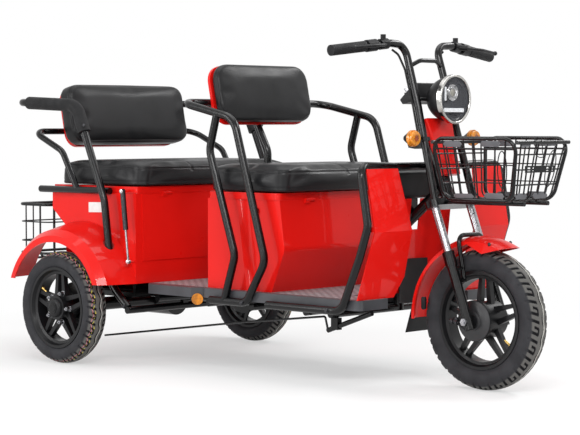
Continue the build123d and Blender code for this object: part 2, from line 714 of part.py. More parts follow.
# Leg shield: a creased sheet cut back to two wings, held to the guard by lugs
guard_side = [(610, 250), (290, 250), (215, 420), (182, 515), (215, 700)]
guard_half = [at(-driver_hoop_plane, point) for point in guard_side]
guard_half.append(at(-150, guard_cross))
guard_route = guard_half + [(-x, y, z) for x, y, z in reversed(guard_half)]
guard_radii = [50, 60, 60, 40, 60, 60, 40, 60, 60, 50]
wing_head, wing_crease, wing_foot = (200, 690), (165, 498), (236, floor_top + seat_gap)
with BuildPart() as leg_shield:
    profile([wing_head, wing_crease, wing_foot, (wing_foot[0] + panel_wall, wing_foot[1]),
             (wing_crease[0] + panel_wall, wing_crease[1]), (wing_head[0] + panel_wall, wing_head[1])],
            -floor_half_width, floor_half_width)
    for sign in (-1, 1):
        for z in (498, 610):
            inner, outer = sorted((sign * (floor_half_width - 12), sign * floor_half_width))
            block((inner, back(wing_crease[0] + panel_wall / 2 + (z - 498) * 0.18), z),
                  (outer, back(wing_crease[0] + 26 + (z - 498) * 0.18), z + 16))
    with BuildSketch(Plane.XZ.offset(-back(0))):
        with BuildLine():
            Polyline((-165, floor_top - 5), (-137, 350), (-158, 498), (-188, 700), (188, 700), (158, 498),
                     (137, 350), (165, floor_top - 5), close=True)
        make_face()
    extrude(amount=-400, mode=Mode.SUBTRACT)
    bar(guard_route, guard_radii, hoop_tube + 2 * seat_gap, mode=Mode.SUBTRACT)
keep(leg_shield, "leg_shield")

with BuildPart() as front_apron:
    profile([apron_head, apron_base, (apron_base[0] + panel_wall, apron_base[1]),
             (apron_head[0] + panel_wall, apron_head[1])], -180, 180)
    block((-lug_half - seat_gap, back(apron_base[0] - 10), lug_low - seat_gap),
          (lug_half + seat_gap, back(apron_base[0] + 10), lug_low + 16 + seat_gap), mode=Mode.SUBTRACT)
    block((-23, back(270), 490), (23, back(305), 600), mode=Mode.SUBTRACT)
keep(front_apron, "front_apron")

liner_height = 396
liner_back = apron_head[0] + (589.7 - liner_height) * 0.1236 - seat_gap
with BuildPart() as wheel_arch_liner:
    with BuildSketch(Plane.XY.offset(256)):
        with Locations((0, back(liner_back - arch_liner_radius))):
            Circle(arch_liner_radius)
            Circle(arch_liner_radius - 3, mode=Mode.SUBTRACT)
            with Locations((0, arch_liner_radius)):
                Rectangle(140, arch_liner_radius, mode=Mode.INTERSECT)
    extrude(amount=liner_height - 256)
keep(wheel_arch_liner, "wheel_arch_liner")

glove_height = 90
with BuildPart() as glove_box:
    block((-120, back(apron_head[0] - 5), 590), (120, back(380), 590 + glove_height))
    fillet(glove_box.edges().filter_by(Axis.X), 14)
    fillet(glove_box.edges().filter_by(Axis.Z), 10)
    block((-116, back(apron_head[0] - 1), 594), (116, back(372), 640), mode=Mode.SUBTRACT)
keep(glove_box, "glove_box")

# ---------------------------------------------------------------------------
# Driver's seat: a creased box, a lid that tips forward on it, and a backrest on a post
# ---------------------------------------------------------------------------
box_top_front = seat_box_front + 22
crease_height = 424
swage_radius = 70
swage_depth = 6
swage_low, swage_high = (713, floor_top - 10), (762, seat_box_rim + 10)


def box_body(inset):
    """Add the driver's box, its sides pressed in along a swage, with every wall moved in by inset."""
    base, far = floor_top + seat_gap + inset, seat_box_back - inset
    profile([(box_top_front + inset, seat_box_rim), (seat_box_front + inset, crease_height),
             (seat_box_front + 58 + inset, base), (far, base), (far, seat_box_rim)],
            inset - seat_box_half_width, seat_box_half_width - inset)
    for sign in (-1, 1):
        swage_plane = sign * (seat_box_half_width - swage_depth + swage_radius)
        straight(at(swage_plane, swage_low), at(swage_plane, swage_high),
                 2 * (swage_radius + inset), mode=Mode.SUBTRACT)


lid_base = seat_box_rim + seat_gap
driver_hinge = (box_top_front - hinge_knuckle / 2 - 1, lid_base)
with BuildPart() as driver_seat_box:
    box_body(0)
    crease = driver_seat_box.edges().filter_by(Axis.X).sort_by(Axis.Y)[0]
    fillet(crease, 40)
    with BuildPart(mode=Mode.SUBTRACT):
        box_body(panel_wall)
    for x in (-190, 170):
        block((x, back(driver_hinge[0] - 3), lid_base - 12), (x + 20, back(box_top_front + 2), lid_base - 2))
        straight(at(x, driver_hinge), at(x + 20, driver_hinge), hinge_knuckle)
keep(driver_seat_box, "driver_seat_box")

lid_back = seat_box_back - 4
with BuildPart() as driver_seat_lid:
    block((-seat_box_half_width - 4, back(box_top_front), lid_base),
          (seat_box_half_width + 4, back(lid_back), lid_base + lid_thickness), 16)
    for x in (-169.5, 150):
        block((x, back(driver_hinge[0] - 3), lid_base + 1), (x + 19.5, back(box_top_front + 20), lid_base + 6))
        straight(at(x, driver_hinge), at(x + 19.5, driver_hinge), hinge_knuckle)
keep(driver_seat_lid, "driver_seat_lid")

driver_cushion_half = seat_box_half_width + 12
with BuildPart() as driver_cushion:
    block((-driver_cushion_half, back(565), lid_base + lid_thickness),
          (driver_cushion_half, back(lid_back), seat_top), 45)
    fillet(driver_cushion.faces().sort_by(Axis.Z)[-1].edges(), 16)
keep(driver_cushion, "driver_cushion")

with BuildPart() as seat_lock:
    lock = (700, seat_box_rim - 38)
    straight(at(-seat_box_half_width - seat_gap, lock), at(-seat_box_half_width - 7, lock), 26)
keep(seat_lock, "seat_lock")


def rest_plane(foot, recline):
    """Plane on the front of a backrest: its Y runs down the pad and its Z back through it."""
    angle = math.radians(recline)
    return Plane(origin=at(0, foot), x_dir=(1, 0, 0), z_dir=(0, math.cos(angle), -math.sin(angle)))


def pad(plane, near, far, width, height, radius, soft):
    """Add a rounded slab between two depths behind the plane, with the edges of its near face softened."""
    with BuildSketch(plane.offset(near), mode=Mode.PRIVATE) as outline:
        with Locations((0, -height / 2)):
            RectangleRounded(width, height, radius)
    slab = extrude(outline.sketch, amount=far - near, dir=tuple(plane.z_dir))
    if soft:
        fillet(slab.faces().sort_by(Axis.Y)[0].edges(), soft)


def behind(foot, recline, height, depth):
    """Side outline point this far behind the front of a backrest, at this height above the ground."""
    angle = math.radians(recline)
    rise = (height - foot[1] + depth * math.sin(angle)) / math.cos(angle)
    return (foot[0] + rise * math.sin(angle) + depth * math.cos(angle), height)


driver_rest_foot, driver_recline = (925, 836), 12.1
driver_rest = rest_plane(driver_rest_foot, driver_recline)
driver_pad_depth = 43
driver_shell_depth = 12
with BuildPart() as driver_backrest:
    pad(driver_rest, 0, driver_pad_depth, 450, 205, 60, 14)
keep(driver_backrest, "driver_backrest")
with BuildPart() as driver_backrest_shell:
    pad(driver_rest, driver_pad_depth + seat_gap, driver_pad_depth + driver_shell_depth, 446, 201, 58, 0)
keep(driver_backrest_shell, "driver_backrest_shell")

driver_rest_depth = driver_pad_depth + driver_shell_depth + seat_gap
hoop_head = behind(driver_rest_foot, driver_recline, 899, driver_rest_depth + hoop_tube / 2)
post_y = seat_box_back + 19
post_tube = 26
post_top = behind(driver_rest_foot, driver_recline, hoop_head[1], driver_rest_depth + post_tube / 2)[0]
with BuildPart() as driver_backrest_post:
    bar([at(0, (post_y, 400)), at(0, (post_y, 735)), at(0, (post_top, 850)),
         at(0, (post_top, hoop_head[1] - hoop_tube / 2 - seat_gap))], [60, 30], post_tube)
    block((-30, back(seat_box_back + seat_gap), 420), (30, back(post_y), 540))
keep(driver_backrest_post, "driver_backrest_post")

# ---------------------------------------------------------------------------
# Hoops and guards: each bent tube runs up one side, across, and down the other
# ---------------------------------------------------------------------------
with BuildPart() as driver_hoops:
    half = [(870, 250), (704, 250), (618, 388), (705, 670), (760, 846), hoop_head]
    radii = [40, 60, 150, 70, 55]
    bar(both_sides(driver_hoop_plane, half), radii + radii[::-1], hoop_tube)
    for sign in (-1, 1):
        x = sign * driver_hoop_plane
        bar([at(x, (838, 862)), at(x, (873, 741)), at(x, (850, 676)), at(x, (755, 400)), at(x, (805, 250))],
            60, hoop_tube)
keep(driver_hoops, "driver_hoops")

with BuildPart() as front_guard:
    bar(guard_route, guard_radii, hoop_tube)
keep(front_guard, "front_guard")

rear_rest_foot, rear_recline = aft((142, 762))[0], 12.3
rear_rest = rest_plane(rear_rest_foot, rear_recline)
rear_pad_depth = 72
rear_shell_depth = 17
rear_rest_depth = rear_pad_depth + rear_shell_depth + seat_gap
tab_tube = 16
with BuildPart() as rear_hoops:
    radii = [60, 150, 60, 50]
    bar(both_sides(rear_hoop_plane, hoop_rise), radii + radii[::-1], hoop_tube)
    for x in (-140, 140):
        seat = behind(rear_rest_foot, rear_recline, hoop_rise[-1][1] + tab_tube / 2, rear_rest_depth)
        straight(at(x, (seat[0], hoop_rise[-1][1])), at(x, hoop_rise[-1]), tab_tube)
keep(rear_hoops, "rear_hoops")

with BuildPart() as rear_braces:
    for sign in (-1, 1):
        x = sign * seat_rail_plane
        rail_front, rail_back = aft((-158, 598), (214, 598))
        straight(at(x, rail_front), at(x, rail_back), seat_rail_tube)
    brace = aft((14, 600), (94, 732))
    brace.append(behind(rear_rest_foot, rear_recline, 801, rear_rest_depth + brace_tube / 2))
    bar(both_sides(seat_rail_plane, brace), [60, 50, 50, 60], brace_tube)
keep(rear_braces, "rear_braces")

armrest_bore = hoop_tube + 2 * seat_gap
with BuildPart() as armrest_pads:
    for sign in (-1, 1):
        x = sign * rear_hoop_plane
        corner, front, back_end = hoop_rise[3], hoop_rise[2], hoop_rise[4]
        for share, diameter, mode in ((1, armrest_bore + 18, Mode.ADD), (1.2, armrest_bore, Mode.SUBTRACT)):
            bar([at(x, between(corner, front, 0.286 * share)), at(x, corner),
                 at(x, between(corner, back_end, 0.787 * share))], 60, diameter, mode)
keep(armrest_pads, "armrest_pads")

# ---------------------------------------------------------------------------
# Rear body: a storage box under the bench, its lid hinged at the front and held up by two struts
# ---------------------------------------------------------------------------
rear_box_floor_back = wheelbase + rear_box_heel
box_outline = [(rear_box_front, floor_top), (rear_box_front, rear_box_rim), (rear_box_back, rear_box_rim),
               (rear_box_back, 530), (rear_box_floor_back, 470), (rear_box_floor_back, floor_top)]
rear_hinge = (rear_box_front - hinge_knuckle / 2 - 1, rear_box_rim + seat_gap)
strut_lid_pin = (rear_box_front + 34, 600)
strut_body_pin = (rear_box_front + 7, 361)
socket_half = 5
with BuildPart() as rear_box:
    profile(box_outline, -rear_box_half_width, rear_box_half_width)
    wall = panel_wall
    profile([(rear_box_front + wall, floor_top + wall), (rear_box_front + wall, rear_box_rim),
             (rear_box_back - wall, rear_box_rim), (rear_box_back - wall, 532),
             (rear_box_floor_back - wall, 472), (rear_box_floor_back - wall, floor_top + wall)],
            wall - rear_box_half_width, rear_box_half_width - wall, mode=Mode.SUBTRACT)
    block((-352, back(rear_box_front - 3), 362), (352, back(rear_box_front + 1), rear_box_rim - 4))
    for x in (-260, 240):
        block((x, back(rear_hinge[0] - 1), rear_hinge[1] - 12),
              (x + 20, back(rear_box_front + 2), rear_hinge[1] - 2))
        straight(at(x, rear_hinge), at(x + 20, rear_hinge), hinge_knuckle)
    for sign in (-1, 1):
        stud_end = strut_plane - socket_half - seat_gap
        straight(at(sign * (rear_box_half_width - 2), strut_body_pin),
                 at(sign * stud_end, strut_body_pin), strut_rod)
keep(rear_box, "rear_box")

rear_lid_half = rear_box_half_width - moving_gap
with BuildPart() as rear_seat_lid:
    block((-rear_lid_half, back(rear_box_front), rear_hinge[1]),
          (rear_lid_half, back(rear_box_back), rear_hinge[1] + lid_thickness), 10)
    for x in (-239.5, 220):
        block((x, back(rear_hinge[0] - 1), rear_hinge[1] + 1),
              (x + 19.5, back(rear_box_front + 20), rear_hinge[1] + 6))
        straight(at(x, rear_hinge), at(x + 19.5, rear_hinge), hinge_knuckle)
    for sign in (-1, 1):
        pin_end = strut_plane + socket_half + 2
        straight(at(sign * (rear_lid_half - 20), strut_lid_pin), at(sign * pin_end, strut_lid_pin), strut_rod)
keep(rear_seat_lid, "rear_seat_lid")

with BuildPart() as rear_cushion:
    block((4 - rear_lid_half, back(rear_box_front - 20), rear_hinge[1] + lid_thickness),
          (rear_lid_half - 4, back(rear_box_back - 14), seat_top + 4), 50)
    fillet(rear_cushion.faces().sort_by(Axis.Z)[-1].edges(), 16)
keep(rear_cushion, "rear_cushion")

with BuildPart() as rear_backrest:
    pad(rear_rest, 0, rear_pad_depth, 564, 221, 50, 20)
keep(rear_backrest, "rear_backrest")
with BuildPart() as rear_backrest_shell:
    pad(rear_rest, rear_pad_depth + seat_gap, rear_pad_depth + rear_shell_depth, 524, 214, 48, 0)
keep(rear_backrest_shell, "rear_backrest_shell")

# Gas struts: the rod slides in the cylinder as the lid rises, its socket riding on the end of the box's stud
strut_run = Vector(*at(0, strut_body_pin)) - Vector(*at(0, strut_lid_pin))
strut_aim = strut_run.normalized()
cylinder_length = 132
rod_start = 70
eye = 16


def on_strut(x, distance):
    """Point this far down the strut from its pin on the lid."""
    return tuple(Vector(*at(x, strut_lid_pin)) + strut_aim * distance)


with BuildPart() as gas_strut_cylinders:
    for sign in (-1, 1):
        x = sign * strut_plane
        straight(on_strut(x, 0), on_strut(x, cylinder_length), strut_cylinder)
        straight(on_strut(x - socket_half, 0), on_strut(x + socket_half, 0), eye)
        straight(on_strut(x - 10, 0), on_strut(x + 10, 0), strut_rod + 2 * running_gap, mode=Mode.SUBTRACT)
        straight(on_strut(x, rod_start - 6), on_strut(x, cylinder_length + 1),
                 strut_rod + 2 * running_gap, mode=Mode.SUBTRACT)
keep(gas_strut_cylinders, "gas_strut_cylinders")

with BuildPart() as gas_strut_rods:
    for sign in (-1, 1):
        x = sign * strut_plane
        straight(on_strut(x, rod_start), on_strut(x, strut_run.length), strut_rod)
        straight(on_strut(x - socket_half, strut_run.length), on_strut(x + socket_half, strut_run.length), eye)
keep(gas_strut_rods, "gas_strut_rods")

# Rear fenders: a rounded sheet turned about the axle, notched round the hoop
fender_inner = rear_box_half_width + seat_gap
fender_outline = [(fender_inner, 296), (440, 282), (490, 270), (rear_fender_outer - 2, 250),
                  (rear_fender_outer, rear_fender_rim)]
fender_lining = [(rear_fender_outer - 4, rear_fender_rim), (rear_fender_outer - 6, 248), (487, 266),
                 (439, 278), (fender_inner, 292)]
axle_above = Plane(origin=at(0, axle_centre), x_dir=(1, 0, 0), z_dir=(0, 0, 1))
with BuildPart() as rear_fenders:
    for sign in (-1, 1):
        with BuildSketch(axle_above):
            with BuildLine():
                Polyline(*[(sign * x, -r) for x, r in fender_outline + fender_lining], close=True)
            make_face()
        revolve(axis=Axis(at(0, axle_centre), (-1, 0, 0)), revolution_arc=180)
    block((-600, back(900), 0), (600, back(2000), floor_top + seat_gap), mode=Mode.SUBTRACT)
    for sign in (-1, 1):
        bar([at(sign * rear_hoop_plane, point) for point in hoop_rise[:3]], 60, hoop_tube + 10,
            mode=Mode.SUBTRACT)
keep(rear_fenders, "rear_fenders")

with BuildPart() as tail_lamps:
    for x in (-300, 300):
        block((x - 36, back(rear_box_back + seat_gap), 538), (x + 36, back(rear_box_back + 22), 574))
    fillet(tail_lamps.edges().filter_by(Axis.Z), 4)
keep(tail_lamps, "tail_lamps")

# Rear basket: wire rings and bent wires hung on four arms from the storage box
rear_basket_half = 300
rear_basket_front = wheelbase + 292
rear_basket_back = wheelbase + rear_overhang
rear_basket_rim = 540
rear_basket_floor = 330
rim_rod = 12
arm_tube = 14
with BuildPart() as rear_basket:
    near, far = rear_basket_front + rim_rod / 2, rear_basket_back - rim_rod / 2
    wide = rear_basket_half - rim_rod / 2
    top, low = rear_basket_rim - rim_rod / 2, rear_basket_floor + rim_rod / 2
    for height, gauge in ((top, rim_rod), (470, basket_wire), (400, basket_wire), (low + 20, rim_rod - 2)):
        for edge in (near, far):
            bar([at(-wide, ((near + far) / 2, height)), at(-wide, (edge, height)), at(wide, (edge, height)),
                 at(wide, ((near + far) / 2, height))], 30, gauge)
    for column in range(9):
        x = wide * (column - 4) / 4.5
        bar([at(x, (near, top)), at(x, (near, low)), at(x, (far, low)), at(x, (far, top))], 24, basket_wire)
    for row in range(3):
        y = near + (far - near) * (row + 1) / 4
        bar([at(-wide, (y, top)), at(-wide, (y, low)), at(wide, (y, low)), at(wide, (y, top))], 24, basket_wire)
    for x in (-200, 200):
        straight(at(x, (rear_box_back + seat_gap, top)), at(x, (near, top)), arm_tube)
        straight(at(x, (rear_box_floor_back + seat_gap, 400)), at(x, (near, 400)), arm_tube)
keep(rear_basket, "rear_basket")
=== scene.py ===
import math

import bmesh
import bpy
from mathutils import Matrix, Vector


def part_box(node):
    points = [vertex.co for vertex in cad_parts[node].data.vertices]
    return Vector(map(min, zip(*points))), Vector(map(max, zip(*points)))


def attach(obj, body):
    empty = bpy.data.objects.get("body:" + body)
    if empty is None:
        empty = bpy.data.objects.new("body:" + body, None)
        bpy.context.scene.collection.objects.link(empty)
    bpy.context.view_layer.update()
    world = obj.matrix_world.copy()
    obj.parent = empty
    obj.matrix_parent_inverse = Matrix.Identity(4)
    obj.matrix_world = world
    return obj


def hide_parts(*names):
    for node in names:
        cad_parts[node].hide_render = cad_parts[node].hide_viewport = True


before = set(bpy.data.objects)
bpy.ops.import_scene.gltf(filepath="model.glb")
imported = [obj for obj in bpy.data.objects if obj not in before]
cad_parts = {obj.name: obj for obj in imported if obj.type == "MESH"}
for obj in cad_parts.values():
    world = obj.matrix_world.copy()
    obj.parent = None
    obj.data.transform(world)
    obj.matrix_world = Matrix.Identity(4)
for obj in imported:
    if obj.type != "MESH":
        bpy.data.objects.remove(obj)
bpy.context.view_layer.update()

# ---- Places: side outline points are (millimetres behind the front axle, height) ----
FRONT_AXLE_Y = sum(corner[1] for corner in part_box("front_tyre")) / 2
SIDES = (-1, 1)                 # right, left
LAMP_MOUTH = (136, 905)
DIAL = (258, 938.6)
KEY = (270, 926.6)
DASH_FACING = Vector((0, 0.67, 0.74))

# ---- What a tyre's shape and its rubber share ----
PINK, YELLOW, WHITE = (0.55, 0.22, 0.24), (0.62, 0.52, 0.08), (0.60, 0.59, 0.55)
# Node, wheel, radius and half width in metres, and coloured lines: (share of the half width, colour, dashed)
TYRES = (
    ("front_tyre", "front_wheel", 0.220, 0.046, ((0.08, WHITE, False),)),
    ("rear_right_tyre", "rear_wheel_right", 0.194, 0.045,
     ((-0.62, PINK, False), (-0.44, YELLOW, True), (0.10, WHITE, False))),
    ("rear_left_tyre", "rear_wheel_left", 0.194, 0.045,
     ((0.62, PINK, False), (0.44, YELLOW, True), (-0.10, WHITE, False))),
)
TREAD_PITCHES = 22              # repeats of the tread round a tyre
SHOULDER_SHARE = 0.8            # of the tyre's half width
CROWN_DROP = 13                 # millimetres from the crown down to the shoulder


def at(x, point):
    """A point of the side outline, in the plane at x, in metres."""
    return Vector((x / 1000, FRONT_AXLE_Y + point[0] / 1000, point[1] / 1000))


# ---- Camera, floor and light ----
CAMERA_PLACE = (-4.684, FRONT_AXLE_Y - 3.615, 0.827)
CAMERA_TURN = (87.187, 0.0, -46.442)        # degrees
SENSOR_WIDTH, FOCAL_LENGTH = 36.0, 117.93   # millimetres

# Name, place, point aimed at, size in metres, and power in watts
LAMPS = (
    ("key", (-3.0, FRONT_AXLE_Y - 2.2, 3.0), (0, 0, 0.5), (2.6, 0.7), 110),
    ("fill", (-4.0, 2.6, 2.2), (0, 0.2, 0.5), (0.5, 2.6), 55),
    ("rim", (2.4, -1.5, 3.2), (0, 0, 0.6), (2.6, 0.6), 70),
    ("top", (0.0, 0.2, 4.2), (0, 0, 0.4), (3.0, 3.0), 70),
    ("strip_rear", (-4.6, 1.5, 1.3), (0, 0, 0.7), (0.4, 2.6), 34),
    ("strip_front", (0.6, -5.2, 1.3), (0, 0, 0.7), (0.4, 2.6), 34),
    ("strip_side", (-5.2, -1.6, 1.4), (0, 0, 0.7), (0.4, 2.6), 34),
)
WORLD_LEVEL = 0.32              # strength of the world's light on the object
GLOW_REACH = 1.1, 2.3           # metres from the origin, where the floor's glow is half and whole


def add_camera():
    """The camera stands to the front right, a little under the height of the lamp."""
    data = bpy.data.cameras.new("camera")
    data.sensor_width = SENSOR_WIDTH
    data.lens = FOCAL_LENGTH
    camera = bpy.data.objects.new("camera", data)
    camera.location = CAMERA_PLACE
    camera.rotation_euler = [math.radians(angle) for angle in CAMERA_TURN]
    bpy.context.collection.objects.link(camera)
    bpy.context.scene.camera = camera


def add_area_light(name, place, target, size, power):
    """A soft rectangular lamp at place, turned to the target."""
    data = bpy.data.lights.new(name, "AREA")
    data.shape = "RECTANGLE"
    data.size, data.size_y = size
    data.energy = power
    lamp = bpy.data.objects.new(name, data)
    lamp.location = place
    lamp.rotation_euler = (Vector(target) - Vector(place)).to_track_quat("-Z", "Y").to_euler()
    bpy.context.collection.objects.link(lamp)


def put(node, **inputs):
    """Set a node's inputs; _ in a name stands for a space."""
    for name, value in inputs.items():
        node.inputs[name.replace("_", " ")].default_value = value


def white_rays(tree):
    """1 for the rays that see the white surroundings: the camera's, and those in gloss and glass."""
    path = tree.nodes.new("ShaderNodeLightPath")
    seen = path.outputs["Is Camera Ray"]
    for ray in ("Is Glossy Ray", "Is Transmission Ray"):
        either = tree.nodes.new("ShaderNodeMath")
        either.operation = "MAXIMUM"
        tree.links.new(seen, either.inputs[0])
        tree.links.new(path.outputs[ray], either.inputs[1])
        seen = either.outputs["Value"]
    return seen


def add_world():
    """A pale world: white to the camera and in reflections, a plain level on the object."""
    world = bpy.data.worlds.new("world")
    world.use_nodes = True
    bpy.context.scene.world = world
    nodes, links = world.node_tree.nodes, world.node_tree.links
    put(nodes["Background"], Color=(1.0, 1.0, 1.0, 1.0))
    strength = nodes.new("ShaderNodeMapRange")
    put(strength, To_Min=WORLD_LEVEL, To_Max=1.0)
    links.new(white_rays(world.node_tree), strength.inputs["Value"])
    links.new(strength.outputs["Result"], nodes["Background"].inputs["Strength"])
    bpy.context.scene.view_settings.view_transform = "Standard"


def add_floor():
    """A wide floor that keeps the shadow near the object and glows to white away from it."""
    mesh = bpy.data.meshes.new("floor")
    mesh.from_pydata([(-20, -20, 0), (20, -20, 0), (20, 20, 0), (-20, 20, 0)], [], [(0, 1, 2, 3)])
    floor = bpy.data.objects.new("floor", mesh)
    bpy.context.collection.objects.link(floor)
    shader = Shader("floor", (0.93, 0.93, 0.93), 0.9, Specular_IOR_Level=0.1)
    nodes, links = shader.nodes, shader.links
    reach = nodes.new("ShaderNodeVectorMath")
    reach.operation = "LENGTH"
    links.new(shader.place, reach.inputs[0])
    fade = shader.ramp(reach.outputs["Value"], *GLOW_REACH, 0.5, 1.0)
    mixed = nodes.new("ShaderNodeMixShader")
    links.new(shader.times(fade, white_rays(shader.material.node_tree)), mixed.inputs["Fac"])
    links.new(shader.surface.outputs["BSDF"], mixed.inputs[1])
    links.new(nodes.new("ShaderNodeEmission").outputs["Emission"], mixed.inputs[2])
    links.new(mixed.outputs["Shader"], nodes["Material Output"].inputs["Surface"])
    mesh.materials.append(shader.material)


# ---- Materials ----
class Shader:
    """A Principled material built up from noise in the object's own coordinates."""

    def __init__(self, name, color, roughness, metallic=0.0, **sockets):
        self.material = bpy.data.materials.new(f"{name}_finish")
        self.material.use_nodes = True
        self.nodes = self.material.node_tree.nodes
        self.links = self.material.node_tree.links
        self.surface = self.nodes["Principled BSDF"]
        self.color = color
        put(self.surface, Base_Color=(*color, 1.0), Roughness=roughness, Metallic=metallic, **sockets)
        self.place = self.nodes.new("ShaderNodeTexCoord").outputs["Object"]
        self.normal = None

    def noise(self, scale, detail=3.0, stretch=None):
        """A noise texture's value: scale in features a metre, and the coordinates times stretch if that is given."""
        texture = self.nodes.new("ShaderNodeTexNoise")
        put(texture, Scale=scale, Detail=detail)
        place = self.place
        if stretch:
            mapping = self.nodes.new("ShaderNodeMapping")
            put(mapping, Scale=stretch)
            self.links.new(self.place, mapping.inputs["Vector"])
            place = mapping.outputs["Vector"]
        self.links.new(place, texture.inputs["Vector"])
        return texture.outputs["Fac"]

    def cells(self, scale):
        """A cell texture's distance to its edges, for grain."""
        texture = self.nodes.new("ShaderNodeTexVoronoi")
        texture.feature = "DISTANCE_TO_EDGE"
        put(texture, Scale=scale)
        self.links.new(self.place, texture.inputs["Vector"])
        return texture.outputs["Distance"]

    def math(self, operation, *values):
        """A maths node of sockets and numbers."""
        node = self.nodes.new("ShaderNodeMath")
        node.operation = operation
        for slot, value in zip(node.inputs, values):
            if isinstance(value, (int, float)):
                slot.default_value = value
            else:
                self.links.new(value, slot)
        return node.outputs["Value"]

    def times(self, *values):
        """The product of two values."""
        return self.math("MULTIPLY", *values)

    def minus(self, *values):
        """The first value less the second."""
        return self.math("SUBTRACT", *values)

    def wave(self, value, rate):
        """Sine of a value; rate is in radians a unit."""
        return self.math("SINE", self.times(value, rate))

    def length(self, across, along):
        """Length of a flat vector of two values."""
        return self.math("SQRT", self.math("ADD", self.times(across, across), self.times(along, along)))

    def axes(self):
        """The object coordinates' three values."""
        node = self.nodes.new("ShaderNodeSeparateXYZ")
        self.links.new(self.place, node.inputs["Vector"])
        return node.outputs["X"], node.outputs["Y"], node.outputs["Z"]

    def band(self, value, low, high, soft):
        """1 where value lies between low and high, with soft edges."""
        return self.times(self.ramp(value, low - soft, low), self.ramp(value, high, high + soft, 1.0, 0.0))

    def ramp(self, value, low, high, to_low=0.0, to_high=1.0):
        """value carried from one range to another."""
        node = self.nodes.new("ShaderNodeMapRange")
        put(node, From_Min=low, From_Max=high, To_Min=to_low, To_Max=to_high)
        self.links.new(value, node.inputs["Value"])
        return node.outputs["Result"]

    def tint(self, other, amount):
        """Mix the colour so far with another by an amount socket, and colour the surface with it."""
        node = self.nodes.new("ShaderNodeMix")
        node.data_type = "RGBA"
        self.links.new(amount, node.inputs["Factor"])
        put(node, B=(*other, 1.0))
        before = self.surface.inputs["Base Color"]
        if before.links:
            self.links.new(before.links[0].from_socket, node.inputs["A"])
        else:
            put(node, A=(*self.color, 1.0))
        self.links.new(node.outputs["Result"], before)
        return self

    def mottle(self, spread, scale):
        """Let the colour wander a little darker and lighter."""
        darker = tuple(channel * (1 - spread) for channel in self.color)
        return self.tint(darker, self.ramp(self.noise(scale), 0.35, 0.65))

    def polish(self, low, high, scale):
        """Let the roughness wander between two values."""
        wandering = self.ramp(self.noise(scale, 4.0), 0.3, 0.7, low, high)
        self.links.new(wandering, self.surface.inputs["Roughness"])
        return self

    def relief(self, height, distance, strength):
        """Add a bump of this height socket; distance, in metres, is its full depth."""
        bump = self.nodes.new("ShaderNodeBump")
        put(bump, Distance=distance, Strength=strength)
        self.links.new(height, bump.inputs["Height"])
        if self.normal:
            self.links.new(self.normal, bump.inputs["Normal"])
        self.normal = bump.outputs["Normal"]
        self.links.new(self.normal, self.surface.inputs["Normal"])
        return self

    def polar(self, center):
        """X, and the distance from and angle about an axle along it through center."""
        x, y, z = self.axes()
        dy, dz = self.minus(y, center[1]), self.minus(z, center[2])
        return x, self.length(dy, dz), self.math("ARCTAN2", dz, dy)


def red_paint():
    """Deep gloss red under clear lacquer."""
    shader = Shader("red_paint", (0.74, 0.009, 0.006), 0.3, Coat_Weight=0.3, Coat_Roughness=0.03,
                    Specular_IOR_Level=0.1)
    shader.mottle(0.10, 3.0).polish(0.26, 0.36, 5.0)
    return shader.relief(shader.noise(420.0, 2.0), 0.00012, 0.25).material


def black_paint():
    """Black powder coat with a gloss, a little worn along the tubes."""
    shader = Shader("black_tube", (0.0015, 0.0015, 0.0018), 0.1, Specular_IOR_Level=0.32)
    shader.tint((0.004, 0.004, 0.005), shader.ramp(shader.noise(7.0, 3.0), 0.45, 0.75)).polish(0.21, 0.27, 12.0)
    return shader.relief(shader.noise(30.0, 2.0), 0.00002, 0.05).material


def vinyl():
    """Black upholstery vinyl: small pebbled grain and a soft sheen."""
    shader = Shader("vinyl", (0.011, 0.011, 0.012), 0.33, Specular_IOR_Level=0.22)
    shader.mottle(0.35, 7.0).polish(0.30, 0.44, 11.0)
    shader.relief(shader.noise(20.0, 3.0), 0.0012, 0.25)
    return shader.relief(shader.cells(420.0), 0.0004, 0.4).material


def moulded(name, color, roughness, grain=700.0):
    """Moulded plastic with a fine spark-eroded grain."""
    shader = Shader(name, color, roughness, Specular_IOR_Level=0.2)
    shader.mottle(0.25, 12.0).polish(roughness - 0.07, roughness + 0.1, 18.0)
    return shader.relief(shader.noise(grain, 2.0), 0.0003, 0.35).material


def floor_plate():
    """Grey moulded footboard: rows of short raised bars on top, with a plain border and sides."""
    shader = Shader("footboard", (0.060, 0.061, 0.068), 0.42, Specular_IOR_Level=0.35)
    row_pitch, dash_pitch = 0.017, 0.030
    x, y, z = shader.axes()
    rows = shader.wave(y, 2 * math.pi / row_pitch)
    dashes = shader.math("SINE", shader.math("ADD", shader.times(x, 2 * math.pi / dash_pitch),
                                             shader.times(y, math.pi / row_pitch)))
    studs = shader.times(shader.ramp(rows, -0.1, 0.3), shader.ramp(dashes, -0.55, -0.25))
    top = shader.ramp(z, 0.2842, 0.2846)
    inside = shader.ramp(shader.math("ABSOLUTE", x), 0.305, 0.309, 1.0, 0.0)
    field = shader.times(top, inside)
    studs = shader.times(studs, field)
    shader.mottle(0.3, 8.0).tint((0.15, 0.152, 0.16), field)
    shader.tint((0.46, 0.465, 0.48), studs).polish(0.34, 0.5, 16.0)
    return shader.relief(studs, 0.0018, 0.9).material


